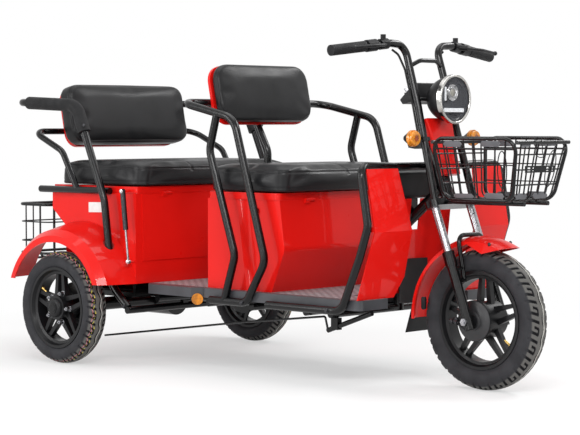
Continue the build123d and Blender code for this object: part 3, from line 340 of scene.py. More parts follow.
def tyre_rubber(name, center, radius, half_width, lines):
    """Grey-black rubber: ribbed sidewalls, a crown coloured paler as a painted sheen, painted shade in the tread's
    cuts, and a new tyre's fine coloured lines.
    """
    shader = Shader(name, (0.040, 0.040, 0.044), 0.6, Specular_IOR_Level=0.1)
    x, distance, angle = shader.polar(center)
    signed = shader.minus(x, center[0])
    drop = CROWN_DROP / 1000
    bow = (SHOULDER_SHARE * half_width) ** 2 / (2 * drop) + drop / 2        # radius of the crown's arch
    arch = shader.math("SQRT", shader.minus(bow ** 2, shader.times(signed, signed)))
    below = shader.minus(shader.minus(distance, radius - bow), arch)        # height over the uncut crown
    tread = shader.ramp(distance, radius - 0.0165, radius - 0.0125)
    shader.mottle(0.3, 20.0)
    # painted sheen: the uncut crown of the tread is coloured a paler grey, standing in for light catching it
    shader.tint((0.115, 0.112, 0.106), shader.times(tread, shader.ramp(below, -0.0016, -0.0004)))
    # painted shade: rubber lying more than 2 to 3 mm under the crown, in the tread's cuts, is coloured darker
    shader.tint((0.008, 0.008, 0.009), shader.times(tread, shader.ramp(below, -0.0030, -0.0020, 1.0, 0.0)))
    wave = shader.times(shader.wave(angle, TREAD_PITCHES), half_width * 0.07)
    for place, color, dashed in lines:
        middle = shader.minus(shader.minus(signed, half_width * place), wave)
        line = shader.band(middle, -0.0008, 0.0008, 0.0005)
        if dashed:
            line = shader.times(line, shader.ramp(shader.wave(angle, 3 * TREAD_PITCHES), -0.5, -0.2))
        shader.tint(color, shader.times(line, shader.ramp(distance, radius - 0.012, radius - 0.010)))
    rings = shader.ramp(shader.wave(distance, 1500.0), -0.2, 0.6)
    wall = shader.ramp(distance, radius - 0.020, radius - 0.016, 1.0, 0.0)
    shader.polish(0.48, 0.68, 30.0)
    shader.relief(shader.times(rings, wall), 0.0005, 0.35)
    return shader.relief(shader.noise(600.0, 3.0), 0.0003, 0.3).material


def lamp_chrome():
    """Polished chrome, faintly marked along its length."""
    shader = Shader("lamp_chrome", (0.80, 0.80, 0.81), 0.08, metallic=1.0)
    shader.polish(0.05, 0.16, 30.0)
    return shader.relief(shader.noise(200.0, 2.0, (1, 1, 0.1)), 0.00005, 0.2).material


def steel(name, color, roughness):
    """Plated steel with a drawn grain."""
    shader = Shader(name, color, roughness, metallic=1.0)
    shader.mottle(0.2, 40.0).polish(roughness - 0.08, roughness + 0.12, 60.0)
    return shader.relief(shader.noise(700.0, 2.0, (0.2, 1, 1)), 0.00004, 0.12).material


def wheel_paint():
    """Satin black cast alloy with a fine orange peel."""
    shader = Shader("wheel_paint", (0.008, 0.008, 0.009), 0.24, Specular_IOR_Level=0.28)
    shader.mottle(0.3, 15.0).polish(0.3, 0.46, 22.0)
    return shader.relief(shader.noise(500.0, 2.0), 0.0002, 0.3).material


def satin_drum():
    """Satin grey-black casting of the brake drum, with fine turning marks."""
    shader = Shader("satin_drum", (0.022, 0.022, 0.024), 0.34, Specular_IOR_Level=0.5)
    _, distance, _ = shader.polar(center_of("front_tyre"))
    shader.mottle(0.25, 18.0).polish(0.28, 0.42, 20.0)
    return shader.relief(shader.wave(distance, 4200.0), 0.00008, 0.3).material


def lens(name, color, roughness=0.08, pitch=0.006, shade=0.42):
    """Coloured lamp plastic, moulded in small squares that catch the light unevenly.

    pitch is of the squares, in metres; shade is how dark the darker patches go, as a share of the colour.
    """
    shader = Shader(name, color, roughness, Coat_Weight=0.5, Coat_Roughness=0.03, Specular_IOR_Level=0.3)
    x, y, z = shader.axes()
    turn = 2 * math.pi / pitch
    along = shader.math("ADD", x, y)
    prisms = shader.times(shader.wave(along, turn), shader.wave(z, turn))
    bright = tuple(min(1.0, channel * 1.4 + 0.06) for channel in color)
    dark = tuple(channel * shade for channel in color)
    shader.tint(dark, shader.ramp(shader.noise(55.0, 2.0), 0.42, 0.62, 0.0, 0.75))
    # painted glint: the prisms' crests are coloured brighter, standing in for the light they catch
    shader.tint(bright, shader.ramp(prisms, 0.0, 0.8, 0.0, 0.7)).polish(roughness, roughness + 0.08, 60.0)
    return shader.relief(shader.ramp(prisms, -0.5, 0.7), 0.0008, 0.6).material


def glowing_bar():
    """White light bar with fine diffusing prisms, lit softly."""
    shader = Shader("lamp_white", (0.85, 0.87, 0.9), 0.3, Emission_Strength=0.75,
                    Emission_Color=(0.95, 0.97, 1.0, 1.0))
    shader.mottle(0.1, 60.0).polish(0.2, 0.35, 80.0)
    return shader.relief(shader.noise(900.0, 2.0), 0.0002, 0.3).material


def clear_cover():
    """The clear outer cover of the lamp."""
    shader = Shader("lamp_cover", (0.03, 0.03, 0.035), 0.03, Alpha=0.12)
    shader.material.surface_render_method = "BLENDED"
    return shader.relief(shader.noise(60.0, 2.0), 0.0001, 0.15).material


def dial_face():
    """Round gauge of the dash: a dark face with pale ticks and a needle."""
    shader = Shader("dial_face", (0.012, 0.013, 0.016), 0.2, Coat_Weight=1.0)
    center = at(0, DIAL)
    tilt_stretch = 1.35         # the face leans, so a length along Y on it is this much longer
    x, y, _ = shader.axes()
    dx = shader.minus(x, center.x)
    dy = shader.times(shader.minus(y, center.y), tilt_stretch)
    radius = shader.length(dx, dy)
    angle = shader.math("ARCTAN2", dx, dy)
    ticks = shader.ramp(shader.wave(angle, 20.0), 0.6, 0.8)
    shader.tint((0.7, 0.72, 0.75), shader.times(ticks, shader.band(radius, 0.015, 0.019, 0.0004)))
    needle = shader.times(shader.band(angle, 0.55, 0.68, 0.02), shader.band(radius, 0.0, 0.014, 0.0005))
    shader.tint((0.8, 0.06, 0.02), needle).polish(0.15, 0.28, 60.0)
    return shader.relief(shader.noise(90.0, 2.0), 0.0001, 0.2).material


def foam(name, color, scale):
    """Dense foam or rubber sleeve with an even pebble."""
    shader = Shader(name, color, 0.6, Specular_IOR_Level=0.2)
    shader.mottle(0.3, 20.0).polish(0.5, 0.72, 30.0)
    return shader.relief(shader.cells(scale), 0.0005, 0.6).material


def ribbed_grip():
    """Rubber grip ribbed round its length."""
    shader = Shader("ribbed_grip", (0.012, 0.012, 0.013), 0.6, Specular_IOR_Level=0.2)
    x, _, _ = shader.axes()
    rib_pitch = 0.0065
    ribs = shader.ramp(shader.wave(x, 2 * math.pi / rib_pitch), -0.3, 0.5)
    shader.mottle(0.3, 30.0).polish(0.5, 0.7, 40.0)
    return shader.relief(ribs, 0.0015, 0.8).material


def center_of(node):
    """Middle of a CAD node's box."""
    low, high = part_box(node)
    return (low + high) / 2


def paint_frame():
    """Give every CAD node its material, and return all materials by name, those of the added pieces too."""
    paint = {
        red_paint(): ("leg_shield", "front_apron", "driver_seat_box", "driver_backrest_shell", "rear_box",
                      "rear_backrest_shell", "rear_fenders", "nose_fairing", "front_fender", "driver_seat_lid",
                      "rear_seat_lid"),
        black_paint(): ("chassis_frame", "rear_axle", "leaf_springs", "driver_hoops", "front_guard", "rear_hoops",
                        "rear_braces", "driver_backrest_post", "rear_basket", "front_basket", "fork_crown",
                        "handlebar", "fork_sliders", "brake_linkage"),
        moulded("black_plastic", (0.010, 0.010, 0.011), 0.4): (
            "battery_pack", "hand_controls", "dashboard", "headlight_bowl", "turn_signal_stalks", "front_mudflap",
            "wheel_arch_liner", "glove_box", "seat_lock"),
        foam("cable_sleeve", (0.014, 0.014, 0.014), 900.0): ("control_cables",),
        foam("armrest_foam", (0.012, 0.012, 0.013), 500.0): ("armrest_pads",),
        ribbed_grip(): ("handlebar_grips",),
        floor_plate(): ("front_floor", "rear_floor"),
        wheel_paint(): ("front_rim", "rear_right_rim", "rear_left_rim", "front_brake"),
        steel("stanchion_chrome", (0.42, 0.42, 0.44), 0.24): ("fork_stanchions",),
        steel("ring_chrome", (0.52, 0.51, 0.49), 0.16): ("headlight_ring",),
        lens("amber_lens", (0.72, 0.24, 0.004)): ("turn_signals", "side_reflectors"),
        lens("red_lens", (0.45, 0.004, 0.006)): ("tail_lamps",),
        steel("plated_steel", (0.40, 0.40, 0.42), 0.28): ("front_axle_bolt", "gas_strut_rods"),
        steel("strut_grey", (0.055, 0.055, 0.06), 0.3): ("gas_strut_cylinders",),
    }
    for node, _, radius, half_width, lines in TYRES:
        paint[tyre_rubber(f"{node}_rubber", center_of(node), radius, half_width, lines)] = (node,)
    for_added_pieces = (
        steel("bright_steel", (0.78, 0.78, 0.80), 0.2), steel("brass", (0.62, 0.42, 0.14), 0.3), satin_drum(),
        steel("dark_steel", (0.06, 0.06, 0.065), 0.42), moulded("lamp_dark", (0.11, 0.115, 0.13), 0.2, 300.0),
        lamp_chrome(), lens("lamp_eye", (0.62, 0.60, 0.52), 0.06, 0.004), glowing_bar(), clear_cover(),
        lens("amber_dark", (0.30, 0.05, 0.004)), moulded("grey_plate", (0.13, 0.13, 0.14), 0.4),
        lens("white_reflector", (0.80, 0.80, 0.78), 0.12, 0.005, 0.9), dial_face())
    for material in for_added_pieces:
        paint[material] = ()
    for material, nodes in paint.items():
        for node in nodes:
            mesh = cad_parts[node].data
            mesh.materials.clear()
            mesh.materials.append(material)
    return {material.name.removesuffix("_finish"): material for material in paint}


# ---- Mesh tools ----
SHARP_ANGLE = math.radians(38)


def add_piece(name, build, body, finish):
    """Add a piece that a function of a bmesh builds in place; it rides on a body."""
    mesh = bpy.data.meshes.new(name)
    form = bmesh.new()
    build(form)
    bmesh.ops.recalc_face_normals(form, faces=form.faces)
    form.to_mesh(mesh)
    form.free()
    piece = bpy.data.objects.new(name, mesh)
    bpy.context.collection.objects.link(piece)
    mesh.materials.append(materials[finish])
    mesh.shade_smooth()
    mesh.set_sharp_from_angle(angle=SHARP_ANGLE)
    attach(piece, body)
    return piece


def frame_along(direction):
    """Two directions square to this one."""
    direction = Vector(direction).normalized()
    side = direction.cross(Vector((0, 0, 1)))
    if side.length < 0.1:
        side = direction.cross(Vector((1, 0, 0)))
    side.normalize()
    return side, direction.cross(side).normalized()


def ring_of(form, center, side, up, radius, segments):
    """A round of vertices about center, or a single one where the radius, in millimetres, is nothing."""
    if radius < 1e-6:
        return [form.verts.new(center)]
    turns = (2 * math.pi * step / segments for step in range(segments))
    return [form.verts.new(center + (side * math.cos(turn) + up * math.sin(turn)) * radius / 1000) for turn in turns]


def skin(form, near, far):
    """Join two rounds of vertices with faces; a round may be a single point."""
    count = max(len(near), len(far))
    for step in range(count):
        following = (step + 1) % count
        corners = (near[step % len(near)], near[following % len(near)],
                   far[following % len(far)], far[step % len(far)])
        corners = list(dict.fromkeys(corners))
        if len(corners) > 2:
            form.faces.new(corners)


def turned(form, outline, base, direction, segments):
    """Add a solid of revolution: outline is (radius, distance along direction) in millimetres."""
    base, direction = Vector(base), Vector(direction).normalized()
    side, up = frame_along(direction)
    rings = [ring_of(form, base + direction * along / 1000, side, up, radius, segments) for radius, along in outline]
    for near, far in zip(rings, rings[1:]):
        skin(form, near, far)
    for ring in (rings[0], rings[-1]):
        if len(ring) > 2:
            form.faces.new(ring)


def turning(outline, base, direction, segments):
    """A build function of one solid of revolution."""
    return lambda form: turned(form, outline, base, direction, segments)


def swept(form, points, radius, segments, closed=False):
    """Add a round tube along points, its radius in millimetres."""
    count, rings, side = len(points), [], None
    for index, point in enumerate(points):
        before = points[index - 1] if index or closed else point
        after = points[(index + 1) % count] if index < count - 1 or closed else point
        direction = (after - before).normalized()
        if side is None:
            side = frame_along(direction)[0]
        side = (side - direction * side.dot(direction)).normalized()
        rings.append(ring_of(form, point, side, direction.cross(side), radius, segments))
    for near, far in zip(rings, rings[1:] + (rings[:1] if closed else [])):
        skin(form, near, far)
    if not closed:
        form.faces.new(rings[0])
        form.faces.new(rings[-1][::-1])


def plate(form, outline, depth, bevel=0.0):
    """Add a flat plate from a closed outline of points, thickened along depth."""
    near = [form.verts.new(point) for point in outline]
    far = [form.verts.new(point + Vector(depth)) for point in outline]
    faces = [form.faces.new(near), form.faces.new(far[::-1])]
    for step in range(len(near)):
        following = (step + 1) % len(near)
        faces.append(form.faces.new((near[following], near[step], far[step], far[following])))
    if bevel:
        edges = list({edge for face in faces for edge in face.edges})
        bmesh.ops.bevel(form, geom=edges, offset=bevel / 1000, segments=2, profile=0.6, affect="EDGES")


def rounded(width, height, radius, steps=6):
    """Outline of a rounded rectangle about the origin, in millimetres."""
    points = []
    for turn, (sx, sy) in enumerate(((1, 1), (-1, 1), (-1, -1), (1, -1))):
        for step in range(steps + 1):
            angle = math.radians(90 * turn + 90 * step / steps)
            points.append((sx * (width / 2 - radius) + radius * math.cos(angle),
                           sy * (height / 2 - radius) + radius * math.sin(angle)))
    return points


# ---- Soft goods: the cushions and backrests are blown up as cloth, then seamed ----
CLOTH_FRAMES = 20
CLOTH_SETTINGS = {
    "quality": 5, "mass": 0.35, "tension_stiffness": 40, "compression_stiffness": 40, "shear_stiffness": 25,
    "bending_stiffness": 30.0, "use_pressure": True, "vertex_group_mass": "held",
}
BACKREST_LEAN = math.radians(12.2)


def apply_modifiers(piece, *names):
    """Apply modifiers of a piece in this order."""
    for name in names:
        with bpy.context.temp_override(object=piece, active_object=piece):
            bpy.ops.object.modifier_apply(modifier=name)


def clamped(value):
    """The value, held between 0 and 1."""
    return max(0.0, min(1.0, value))


def soft_copy(node, name, voxel, shrink):
    """A copy of a CAD solid meshed evenly at voxel metres, drawn in by shrink millimetres."""
    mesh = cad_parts[node].data.copy()
    mesh.materials.clear()
    piece = bpy.data.objects.new(name, mesh)
    bpy.context.collection.objects.link(piece)
    bpy.context.view_layer.objects.active = piece
    remesh = piece.modifiers.new("even", "REMESH")
    remesh.mode = "VOXEL"
    remesh.voxel_size = voxel
    drawn = piece.modifiers.new("drawn", "DISPLACE")
    drawn.strength = -shrink / 1000
    drawn.mid_level = 0.0
    apply_modifiers(piece, "even", "drawn")
    return piece


def blow_up(piece, pressure, cap, held, evenings=8):
    """Swell the piece as cloth under pressure, moving no point more than cap millimetres.

    held says which points stay where they rest; evenings is how often the result is smoothed.
    """
    rest = [vertex.co.copy() for vertex in piece.data.vertices]
    group = piece.vertex_groups.new(name="held")
    group.add([index for index, point in enumerate(rest) if held(point)], 1.0, "REPLACE")
    cloth = piece.modifiers.new("cloth", "CLOTH")
    settings = cloth.settings
    for setting, value in CLOTH_SETTINGS.items():
        setattr(settings, setting, value)
    settings.uniform_pressure_force = pressure
    settings.effector_weights.gravity = 0.0
    cloth.collision_settings.use_collision = False
    cloth.point_cache.frame_start, cloth.point_cache.frame_end = 1, CLOTH_FRAMES
    scene = bpy.context.scene
    for step in range(1, CLOTH_FRAMES + 1):
        scene.frame_set(step)
    swollen = piece.evaluated_get(bpy.context.evaluated_depsgraph_get()).data
    moved = [vertex.co.copy() for vertex in swollen.vertices]
    piece.modifiers.remove(cloth)
    scene.frame_set(1)
    for vertex, start, end in zip(piece.data.vertices, rest, moved):
        shift = end - start
        if shift.length > cap / 1000:
            shift *= cap / 1000 / shift.length
        vertex.co = start + shift
    smooth = piece.modifiers.new("smooth", "SMOOTH")
    smooth.factor, smooth.iterations = 0.5, evenings
    fine = piece.modifiers.new("fine", "SUBSURF")
    fine.levels = fine.render_levels = 1
    apply_modifiers(piece, "smooth", "fine")


def crease(piece, depth, width, distance):
    """Press a sewn seam into the piece where distance(point), in metres, passes zero; the rest is in millimetres."""
    normals = [vertex.normal.copy() for vertex in piece.data.vertices]
    for vertex, normal in zip(piece.data.vertices, normals):
        away = distance(vertex.co)
        if away is not None and abs(away) < 3 * width / 1000:
            vertex.co -= normal * depth / 1000 * math.exp(-(away * 1000 / width) ** 2)


def finish_soft(piece, node, body, material):
    """Clothe a soft piece and let it stand for its CAD solid."""
    piece.data.materials.append(material)
    piece.data.shade_smooth()
    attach(piece, body)
    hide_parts(node)


def add_seat(node, name, body, material, panels):
    """A bench cushion: a crowned top over a boxed side, seamed round its edges and at these shares of its width."""
    low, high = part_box(node)
    piece = soft_copy(node, name, 0.0065, 3.5)
    blow_up(piece, 4.0, 9.0, lambda point: point.z < low.z + 0.012)
    for vertex in piece.data.vertices:
        inside = min(vertex.co.x - low.x, high.x - vertex.co.x, vertex.co.y - low.y, high.y - vertex.co.y)
        rise = clamped((vertex.co.z - low.z - 0.03) / 0.04)
        vertex.co.z += 0.004 * rise * clamped(inside / 0.12) - 0.002 * rise
    crease(piece, 1.8, 3.0, lambda point: point.z - (high.z - 0.019))
    crease(piece, 1.0, 3.0, lambda point: point.z - (low.z + 0.016))
    for share in panels:
        line = low.x + (high.x - low.x) * share
        crease(piece, 2.2, 5.0, lambda point: point.x - line if point.z > high.z - 0.03 else None)
    finish_soft(piece, node, body, material)


def add_rest(node, name, body, material):
    """A backrest pad: a crowned face with a seam round the edge, lying flat on its shell."""
    low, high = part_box(node)
    middle, half = (low + high) / 2, (high - low) / 2
    back = Vector((0, math.cos(BACKREST_LEAN), -math.sin(BACKREST_LEAN)))
    rise = Vector((0, math.sin(BACKREST_LEAN), math.cos(BACKREST_LEAN)))
    depths = [vertex.co.dot(back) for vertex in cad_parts[node].data.vertices]
    foremost, deepest = min(depths), max(depths)
    piece = soft_copy(node, name, 0.006, 3.0)
    blow_up(piece, 3.0, 7.0, lambda point: point.dot(back) > deepest - 0.010, 18)
    for vertex in piece.data.vertices:
        across = abs(vertex.co.x - middle.x) / half.x
        upward = abs((vertex.co - middle).dot(rise)) / half.z
        crown = max(0.0, 1 - across ** 2) * max(0.0, 1 - upward ** 2)
        front = clamped((deepest - 0.02 - vertex.co.dot(back)) / 0.02)
        vertex.co -= back * 0.004 * crown * front
    crease(piece, 1.6, 3.0, lambda point: point.dot(back) - (foremost + 0.016))
    finish_soft(piece, node, body, material)


def add_soft_goods(material):
    """All four padded pieces."""
    add_seat("driver_cushion", "driver_seat_pad", "driver_seat", material, (0.5,))
    add_seat("rear_cushion", "rear_seat_pad", "rear_seat", material, (0.333, 0.667))
    add_rest("driver_backrest", "driver_back_pad", "chassis", material)
    add_rest("rear_backrest", "rear_back_pad", "chassis", material)


# ---- Tyres: the tread is cut into the rubber, so it shows at the edge of the wheel ----
PITCH_STEPS = 22                # rings of points in one repeat of the tread
SEAT_RADIUS = {220: 148, 194: 134}          # of the bead, for each tyre's radius
SIDEWALL_RIBS = {4: 0.7, 6: 0.7}            # height of a rib, by its point's place in the section
CUT_DEPTH = 5.2


def arc_through(start, middle, end, steps):
    """Points of the arc through three points of a section."""
    (ax, ay), (bx, by), (cx, cy) = start, middle, end
    turn = 2 * (ax * (by - cy) + bx * (cy - ay) + cx * (ay - by))
    a, b, c = ax ** 2 + ay ** 2, bx ** 2 + by ** 2, cx ** 2 + cy ** 2
    ux = (a * (by - cy) + b * (cy - ay) + c * (ay - by)) / turn
    uy = (a * (cx - bx) + b * (ax - cx) + c * (bx - ax)) / turn
    radius = math.hypot(ax - ux, ay - uy)
    first, last = math.atan2(ay - uy, ax - ux), math.atan2(cy - uy, cx - ux)
    sweep = (last - first + math.pi) % (2 * math.pi) - math.pi
    return [(ux + radius * math.cos(first + sweep * step / steps), uy + radius * math.sin(first + sweep * step / steps))
            for step in range(steps + 1)]


def cut_depth(across, phase, half):
    """Depth of the tread's cuts at this place across the tyre and in its repeat, from 0 to 1."""
    wave = 0.09 * half * math.sin(2 * math.pi * phase)
    middle = clamped(1.9 - abs(across - wave) / 1.2)
    reach = abs(across) / half
    place = (phase + (0.5 if across < 0 else 0.0)) % 1.0

    def cut(start, width, low, high):
        """A slanting cut between two shares of the half width."""
        if low <= reach <= high:
            line = start + 0.35 * (reach - 0.4)
            away = abs((place - line + 0.5) % 1.0 - 0.5)
            return clamped(1.6 - away / width)
        return 0.0

    slit = cut(0.12, 0.056, 0.34, 1.0)
    hook = cut(0.50, 0.056, 0.36, 0.88)
    barb = cut(0.80, 0.050, 0.36, 0.66)
    if 0.50 <= place <= 0.80:
        hook = max(hook, min(1.0, 1.9 - abs(reach - 0.38) * half / 1.6))
    return max(middle, slit, hook, barb)


def add_tyre(node, body):
    """A treaded tyre in the place of the plain CAD one."""
    low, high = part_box(node)
    center = (low + high) / 2
    half = (high.x - low.x) * 500
    crown = (high.z - low.z) * 500
    seat = SEAT_RADIUS[round(crown)]
    bead, bead_top = half * 0.72, seat + 7
    shoulder = (half * SHOULDER_SHARE, crown - CROWN_DROP)
    side = arc_through((bead, bead_top), (half, (seat + crown) / 2 - 4), shoulder, 9)
    top = arc_through(shoulder, (0, crown), (-shoulder[0], shoulder[1]), 50)
    section = [(bead, seat)] + side + top[1:-1] + [(-x, r) for x, r in reversed(side)] + [(-bead, seat)]
    steps = TREAD_PITCHES * PITCH_STEPS

    def build(form):
        rings = []
        for step in range(steps):
            angle = 2 * math.pi * step / steps
            phase = (step / PITCH_STEPS) % 1.0
            ring = []
            for index, (across, radius) in enumerate(section):
                if radius > crown - 19:
                    radius -= CUT_DEPTH * cut_depth(across, phase, half)
                radius += SIDEWALL_RIBS.get(index, 0.0)
                ring.append(form.verts.new((center.x + across / 1000, center.y + radius / 1000 * math.sin(angle),
                                            center.z + radius / 1000 * math.cos(angle))))
            rings.append(ring)
        for near, far in zip(rings, rings[1:] + rings[:1]):
            skin(form, near, far)

    piece = add_piece(f"{node}_treaded", build, body, f"{node}_rubber")
    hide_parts(node)


# ---- Wheel fittings ----
HUB_CAP = [(0, 11.5), (18, 11.2), (27, 10), (30.5, 7.5), (32, 3), (32.5, 0), (29, 0), (28.5, 2.5), (26, 7), (0, 8)]
WHEEL_NUT = [(10.5, 0), (10.5, 2.5), (8.2, 3), (8.2, 15), (6.6, 18), (3.5, 18.4), (3.5, 23), (0, 23.5)]
VALVE = [(6.5, -1), (6.5, 3), (4.2, 9), (3.6, 16), (3.6, 17), (3.9, 17.2), (3.9, 26), (2.4, 27), (2.4, 31), (0, 31.5)]
WHEEL_NUTS = 5
HUB_FACE, NUT_FACE = 0.5042, 0.4845         # metres from the middle of the vehicle


def along_x(center, sideways, radius, degrees):
    """A point at x = sideways, this many degrees round an axle through center; radius is in millimetres."""
    angle = math.radians(degrees)
    return Vector((sideways, center[1] + radius / 1000 * math.sin(angle), center[2] + radius / 1000 * math.cos(angle)))


def add_wheel_fittings():
    """Hub caps, wheel nuts and brass valves."""
    for side, sign in (("right", -1), ("left", 1)):
        center, wheel = center_of(f"rear_{side}_tyre"), f"rear_wheel_{side}"
        cap = turning(HUB_CAP, (sign * HUB_FACE, center.y, center.z), (sign, 0, 0), 40)
        add_piece(f"hub_cap_{side}", cap, wheel, "black_plastic")

        def nuts(form):
            for index in range(WHEEL_NUTS):
                base = along_x(center, sign * NUT_FACE, 52, 20 * sign + 360 / WHEEL_NUTS * index)
                turned(form, WHEEL_NUT, base, (sign, 0, 0), 6)
        add_piece(f"wheel_nuts_{side}", nuts, wheel, "plated_steel")
        add_valve(f"valve_{side}", wheel, center, sign * 0.012, 116, 58)
    add_valve("valve_front", "front_wheel", center_of("front_tyre"), -0.006, 129, -126)


def add_valve(name, body, center, offset, radius, degrees):
    """A brass valve stem standing in from the rim's well, offset metres to one side of the wheel's middle."""
    foot = along_x(center, center[0] + offset, radius, degrees)
    inward = (Vector((foot.x, center[1], center[2])) - foot).normalized()
    add_piece(name, turning(VALVE, foot, inward, 16), body, "brass")


# ---- Lamp and signals of the front end: sections are (radius, distance ahead of the lamp's base) ----
BOWL = [(68.6, 0), (68.6, 8.5), (66, 8.8), (61, 5.5), (57, 2.6), (54, 2.2), (50, 1.6), (0, 1.6), (0, 0)]
PROJECTOR_RING = [(27, 0), (27, 5.2), (25.6, 6.6), (24, 6.2), (21, 3.4), (15.5, 2.6), (14, 5.6), (12.4, 5.8),
                  (12, 3), (12, 0)]
PROJECTOR_LENS = [(12, 0), (12, 3.2), (11, 5), (8.6, 6.8), (5, 8), (0, 8.5)]
COVER = [(68.4, 9.6), (67.6, 11.2), (62, 12.4), (50, 13.6), (34, 14.7), (16, 15.3), (0, 15.5), (0, 14.2), (16, 14.0),
         (34, 13.4), (50, 12.3), (62, 11.1), (66.6, 10.2), (66.8, 9.6)]
BOWL_RIBS = 36


def lamp_point(x, rise, ahead):
    """A point on the lamp's face: millimetres to the left, up, and in front of its mouth."""
    return at(x, (LAMP_MOUTH[0] - ahead, LAMP_MOUTH[1] + rise))


def add_lamp():
    """The headlight behind its clear cover: a projector, white bars and a ribbed bowl."""
    base = lamp_point(0, 0, 0.3)
    forward = (0, -1, 0)

    def bowl(form):
        turned(form, BOWL, base, forward, 72)
        for index in range(BOWL_RIBS):
            angle = math.radians(index * 10 - 100)
            if math.sin(angle) < -0.62:         # the foot of the bowl has upright ribs instead
                continue
            points = [lamp_point(radius * math.cos(angle), radius * math.sin(angle), 2.2 + (radius - 54) * 0.55)
                      for radius in (55, 66)]
            swept(form, points, 0.9, 6)
        for index in range(-9, 10):
            x = index * 5.4
            drop = -math.sqrt(max(1.0, 60 ** 2 - x ** 2))
            if drop < -47:
                swept(form, [lamp_point(x, drop, 3.4), lamp_point(x, -45, 3.4)], 1.3, 6)
    add_piece("lamp_bowl_inside", bowl, "steering", "lamp_dark")

    eye = lamp_point(-6, 21, 1.5)
    add_piece("lamp_projector_ring", turning(PROJECTOR_RING, eye, forward, 48), "steering", "lamp_chrome")
    add_piece("lamp_projector_lens", turning(PROJECTOR_LENS, eye, forward, 40), "steering", "lamp_eye")

    def bar(form, place, size, ahead, depth, bevel):
        """A rounded bar: its place and size (width, height, corner) on the lamp's face, and its depth in metres."""
        outline = [lamp_point(place[0] + x, place[1] + z, ahead) for x, z in rounded(*size)]
        plate(form, outline, (0, -depth, 0), bevel)

    def bars(form):
        bar(form, (0, -34), (96, 12.5, 3.5), 4.6, 0.0044, 1.0)
        bar(form, (-41, 17), (5.5, 44, 2.4), 4.6, 0.0036, 0.8)
    add_piece("lamp_light_bars", bars, "steering", "lamp_white")

    def frames(form):
        bar(form, (0, -41.6), (104, 2.6, 1.2), 1.8, 0.0074, 0.5)
        bar(form, (-36.3, 18), (2.4, 52, 1.1), 1.8, 0.0066, 0.5)
    add_piece("lamp_bar_frames", frames, "steering", "black_plastic")

    piece = add_piece("lamp_cover", turning(COVER, base, forward, 72), "steering", "lamp_cover")
    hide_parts("headlight_lens")


def add_signal_faces():
    """The dark star in the middle of each turn signal."""
    for name, sign in (("right", -1), ("left", 1)):
        def star(form):
            points = []
            for index in range(16):
                radius = 12.5 if index % 2 == 0 else 6.0
                angle = math.pi * index / 8
                points.append(at(sign * 150 + radius * math.sin(angle), (155.6, 783 + radius * math.cos(angle))))
            plate(form, points, (0, -0.0012, 0), 0.3)
        add_piece(f"signal_star_{name}", star, "steering", "amber_dark")


# ---- Front basket: fine wires, grey corner plates, slotted plate and hook ----
BASKET_FLOOR, BASKET_RIM = 596, 784         # heights of the wire surface's ends


def basket_at(height):
    """Half width, front and back of the basket's wire surface at this height."""
    share = (height - BASKET_FLOOR) / (BASKET_RIM - BASKET_FLOOR)
    return 102 + share * 32, -178 - share * 38, 82 + share * 26


def on_side(sign, y, z, out):
    """A point on the basket's side, out by this much from its wires."""
    return at(sign * (basket_at(z)[0] + out), (y, z))


def hexagon(length):
    """Outline of a flat six-sided plate, 18 mm high with pointed ends."""
    half = length / 2
    return [(-half, 0), (-half + 9, 9), (half - 9, 9), (half, 0), (half - 9, -9), (-half + 9, -9)]


def add_basket_details():
    """What the basket carries beyond its main wires."""
    def wires(form):
        for sign in SIDES:
            for height, bend in ((752, 3.0), (704, 1.9), (650, 1.9)):
                _, front, back = basket_at(height)
                swept(form, [on_side(sign, back - 6, height, 2), on_side(sign, front + 6, height, 2)], bend, 8)
            loop = []
            for index in range(28):
                angle = 2 * math.pi * index / 28
                z = 690 + 56 * math.sin(angle)
                y = -154 + 17 * math.cos(angle) - (z - 690) * 0.10
                loop.append(on_side(sign, y, z, 4.4))
            swept(form, loop, 1.7, 8, closed=True)
    add_piece("basket_wires", wires, "steering", "black_tube")

    def patches(form):
        for sign in SIDES:
            for y, z, length in ((28, 766, 74), (-117, 768, 78), (4, 606, 78), (-112, 610, 78)):
                outline = [on_side(sign, y + across, z + rise, 1.0) for across, rise in hexagon(length)]
                plate(form, outline, (sign * 0.0016, 0, 0), 0.5)
        for x, z, length in ((-88, 768, 58), (36, 770, 76), (-66, 610, 60), (30, 610, 76)):
            front = basket_at(z)[1] - 1
            plate(form, [at(x + across, (front, z + rise)) for across, rise in hexagon(length)], (0, -0.0016, 0), 0.5)
    add_piece("basket_plates", patches, "steering", "grey_plate")

    def slotted(form):
        front = basket_at(692)[1] - 5.5
        for x, z, width, height in ((0, 699.5, 150, 5), (0, 683.5, 150, 5), (-71, 691.5, 8, 12), (71, 691.5, 8, 12),
                                    (0, 691.5, 62, 12), (-46, 691.5, 4, 12), (46, 691.5, 4, 12)):
            plate(form, [at(x + a, (front, z + b)) for a, b in rounded(width, height, min(width, height) * 0.3, 3)],
                  (0, -0.0022, 0))
    add_piece("basket_slotted_plate", slotted, "steering", "black_plastic")

    def hook(form):
        line = [(-58, 788), (-48, 776), (-36, 762), (-33, 748), (-34, 738), (-26, 731), (-12, 727), (2, 727), (7, 731),
                (2, 738), (-4, 748), (-6, 758), (-14, 772), (-24, 788)]
        points = [at(x, (basket_at(z)[1] - 6.4, z)) for x, z in line]
        swept(form, smooth_line(points, 4), 1.5, 8)
    add_piece("basket_hook", hook, "steering", "black_tube")


def smooth_line(points, steps):
    """A Catmull-Rom line through points."""
    line = []
    for index in range(len(points) - 1):
        a, b = points[max(index - 1, 0)], points[index]
        c, d = points[index + 1], points[min(index + 2, len(points) - 1)]
        for step in range(steps):
            t = step / steps
            line.append(0.5 * (2 * b + (c - a) * t + (2 * a - 5 * b + 4 * c - d) * t * t
                               + (3 * b - a - 3 * c + d) * t ** 3))
    return line + [points[-1]]


